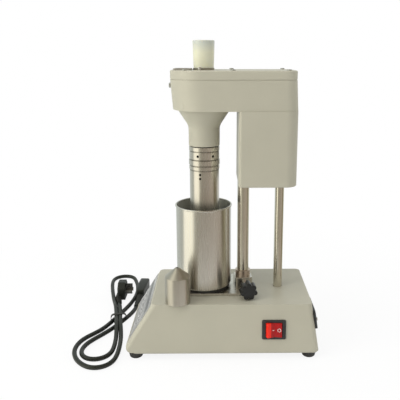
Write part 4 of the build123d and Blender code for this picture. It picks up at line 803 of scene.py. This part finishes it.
cameraPlan = {"at": (-0.00854, -0.76987, 0.41255), "down": 12.571, "right": 0.688, "lens": 49.857,
              "sensor": 36, "shiftX": -0.0563, "shiftY": -0.0519}
camera = bpy.data.objects.new("camera", bpy.data.cameras.new("camera"))
bpy.context.scene.collection.objects.link(camera)
camera.location = cameraPlan["at"]
camera.rotation_euler = (radians(90 - cameraPlan["down"]), 0, radians(-cameraPlan["right"]))
camera.data.sensor_width = cameraPlan["sensor"]
camera.data.lens = cameraPlan["lens"]
camera.data.shift_x = cameraPlan["shiftX"]
camera.data.shift_y = cameraPlan["shiftY"]
camera.data.clip_start = 0.01
bpy.context.scene.camera = camera

# what metal sees round the room, by bearing: turns from behind the camera, left is negative
roomTones = [
    (-180, (0.74, 0.78, 0.75)), (-128, (0.62, 0.66, 0.62)), (-96, (0.54, 0.56, 0.50)),
    (-82, (1.36, 1.32, 1.12)), (-50, (1.38, 1.33, 1.10)), (-35, (0.46, 0.44, 0.36)),
    (-22, (0.38, 0.35, 0.28)), (-5, (0.37, 0.33, 0.27)), (68, (0.46, 0.40, 0.33)),
    (86, (0.16, 0.13, 0.07)), (98, (0.36, 0.33, 0.21)), (118, (0.66, 0.64, 0.56)),
    (150, (0.72, 0.74, 0.74)), (180, (0.74, 0.78, 0.75)),
]


def roomRamp(tree, direction):
    axes = splitAxes(tree, direction)
    bearing = arithmetic(tree, "ARCTAN2", axes["X"], arithmetic(tree, "MULTIPLY", axes["Y"], -1))
    share = spread(tree, bearing, 0, 1, -pi, pi)
    ramp = tree.nodes.new("ShaderNodeValToRGB")
    ramp.color_ramp.interpolation = "EASE"
    stops = ramp.color_ramp.elements
    while len(stops) < len(roomTones):
        stops.new(0.5)
    for stop, (angle, color) in zip(stops, roomTones):
        stop.position = (angle + 180) / 360
        stop.color = (*color, 1)
    tree.links.new(share, ramp.inputs["Fac"])
    return ramp.outputs["Color"]


# metres from the middle over which the floor turns white to the camera, and over which metal
# sees the room in it
floorPlan = {"size": 24, "drop": 0.0002, "white": (0.25, 0.6), "whiteNear": 0.88, "room": (0.20, 0.32)}


def floorMaterial():
    material, tree, shader = newMaterial("paleFloor", (0.86, 0.86, 0.84), 0.9)
    rays = tree.nodes.new("ShaderNodeLightPath")
    away = vectorArithmetic(tree, "LENGTH", place(tree))
    white = tree.nodes.new("ShaderNodeEmission")
    white.inputs["Color"].default_value = (1, 1, 1, 1)
    whiteShare = spread(tree, away, floorPlan["whiteNear"], 1, *floorPlan["white"])
    partly = arithmetic(tree, "MULTIPLY", rays.outputs["Is Camera Ray"], whiteShare)
    seen = mixShaders(tree, partly, shader.outputs["BSDF"], white.outputs["Emission"])
    room = tree.nodes.new("ShaderNodeEmission")
    tree.links.new(roomRamp(tree, place(tree)), room.inputs["Color"])
    far = spread(tree, away, 0, 1, *floorPlan["room"])
    glossy = arithmetic(tree, "MULTIPLY", rays.outputs["Is Glossy Ray"], far)
    mixed = mixShaders(tree, glossy, seen, room.outputs["Emission"])
    tree.links.new(mixed, tree.nodes["Material Output"].inputs["Surface"])
    return material


deselectAll()
bpy.ops.mesh.primitive_plane_add(size=floorPlan["size"], location=(0, 0, -floorPlan["drop"]))
floor = bpy.context.active_object
floor.name = "floor"
floor.data.materials.append(floorMaterial())

# the sky that lights the object; metal sees the room's tones instead, and the camera sees white
skyPlan = {"color": (0.80, 0.82, 0.84), "strength": 0.62}
world = bpy.data.worlds.new("studio")
bpy.context.scene.world = world
world.use_nodes = True
tree = world.node_tree
background = tree.nodes["Background"]
background.inputs["Color"].default_value = (*skyPlan["color"], 1)
background.inputs["Strength"].default_value = skyPlan["strength"]
rays = tree.nodes.new("ShaderNodeLightPath")
whiteSky = tree.nodes.new("ShaderNodeBackground")
whiteSky.inputs["Color"].default_value = (1, 1, 1, 1)
roomSky = tree.nodes.new("ShaderNodeBackground")
coordinates = tree.nodes.new("ShaderNodeTexCoord")
tree.links.new(roomRamp(tree, coordinates.outputs["Generated"]), roomSky.inputs["Color"])
litSky = mixShaders(tree, rays.outputs["Is Glossy Ray"], background.outputs[0], roomSky.outputs[0])
sky = mixShaders(tree, rays.outputs["Is Camera Ray"], litSky, whiteSky.outputs[0])
tree.links.new(sky, tree.nodes["World Output"].inputs["Surface"])


def softLamp(name, at, target, size, power, color):
    lamp = bpy.data.objects.new(name, bpy.data.lights.new(name, "AREA"))
    lamp.data.shape = "SQUARE"
    lamp.data.size = size
    lamp.data.energy = power
    lamp.data.color = color
    lamp.location = at
    lamp.rotation_euler = (Vector(target) - Vector(at)).to_track_quat("-Z", "Y").to_euler()
    bpy.context.scene.collection.objects.link(lamp)
    lamp.visible_camera = False
    lamp.visible_glossy = False


# place, target, side in metres, watts and color
softLamp("windowLamp", (-1.7, -0.9, 1.0), (0, 0, 0.2), 1.3, 26, (1, 0.98, 0.92))
softLamp("topLamp", (-0.3, -0.3, 2.0), (0, 0, 0.2), 1.6, 14, (1, 1, 1))
softLamp("fillLamp", (1.3, -1.5, 0.8), (0, 0, 0.2), 1.6, 6, (1, 0.97, 0.92))
softLamp("leftLamp", (-1.8, 0.2, 0.35), (0, 0, 0.25), 1.0, 5, (0.97, 1, 0.96))
softLamp("rightLamp", (1.6, 0.4, 1.2), (0.05, 0, 0.15), 1.2, 8, (0.97, 0.99, 1))
bpy.context.scene.view_settings.view_transform = "Standard"
print("camera, floor and lamps set")
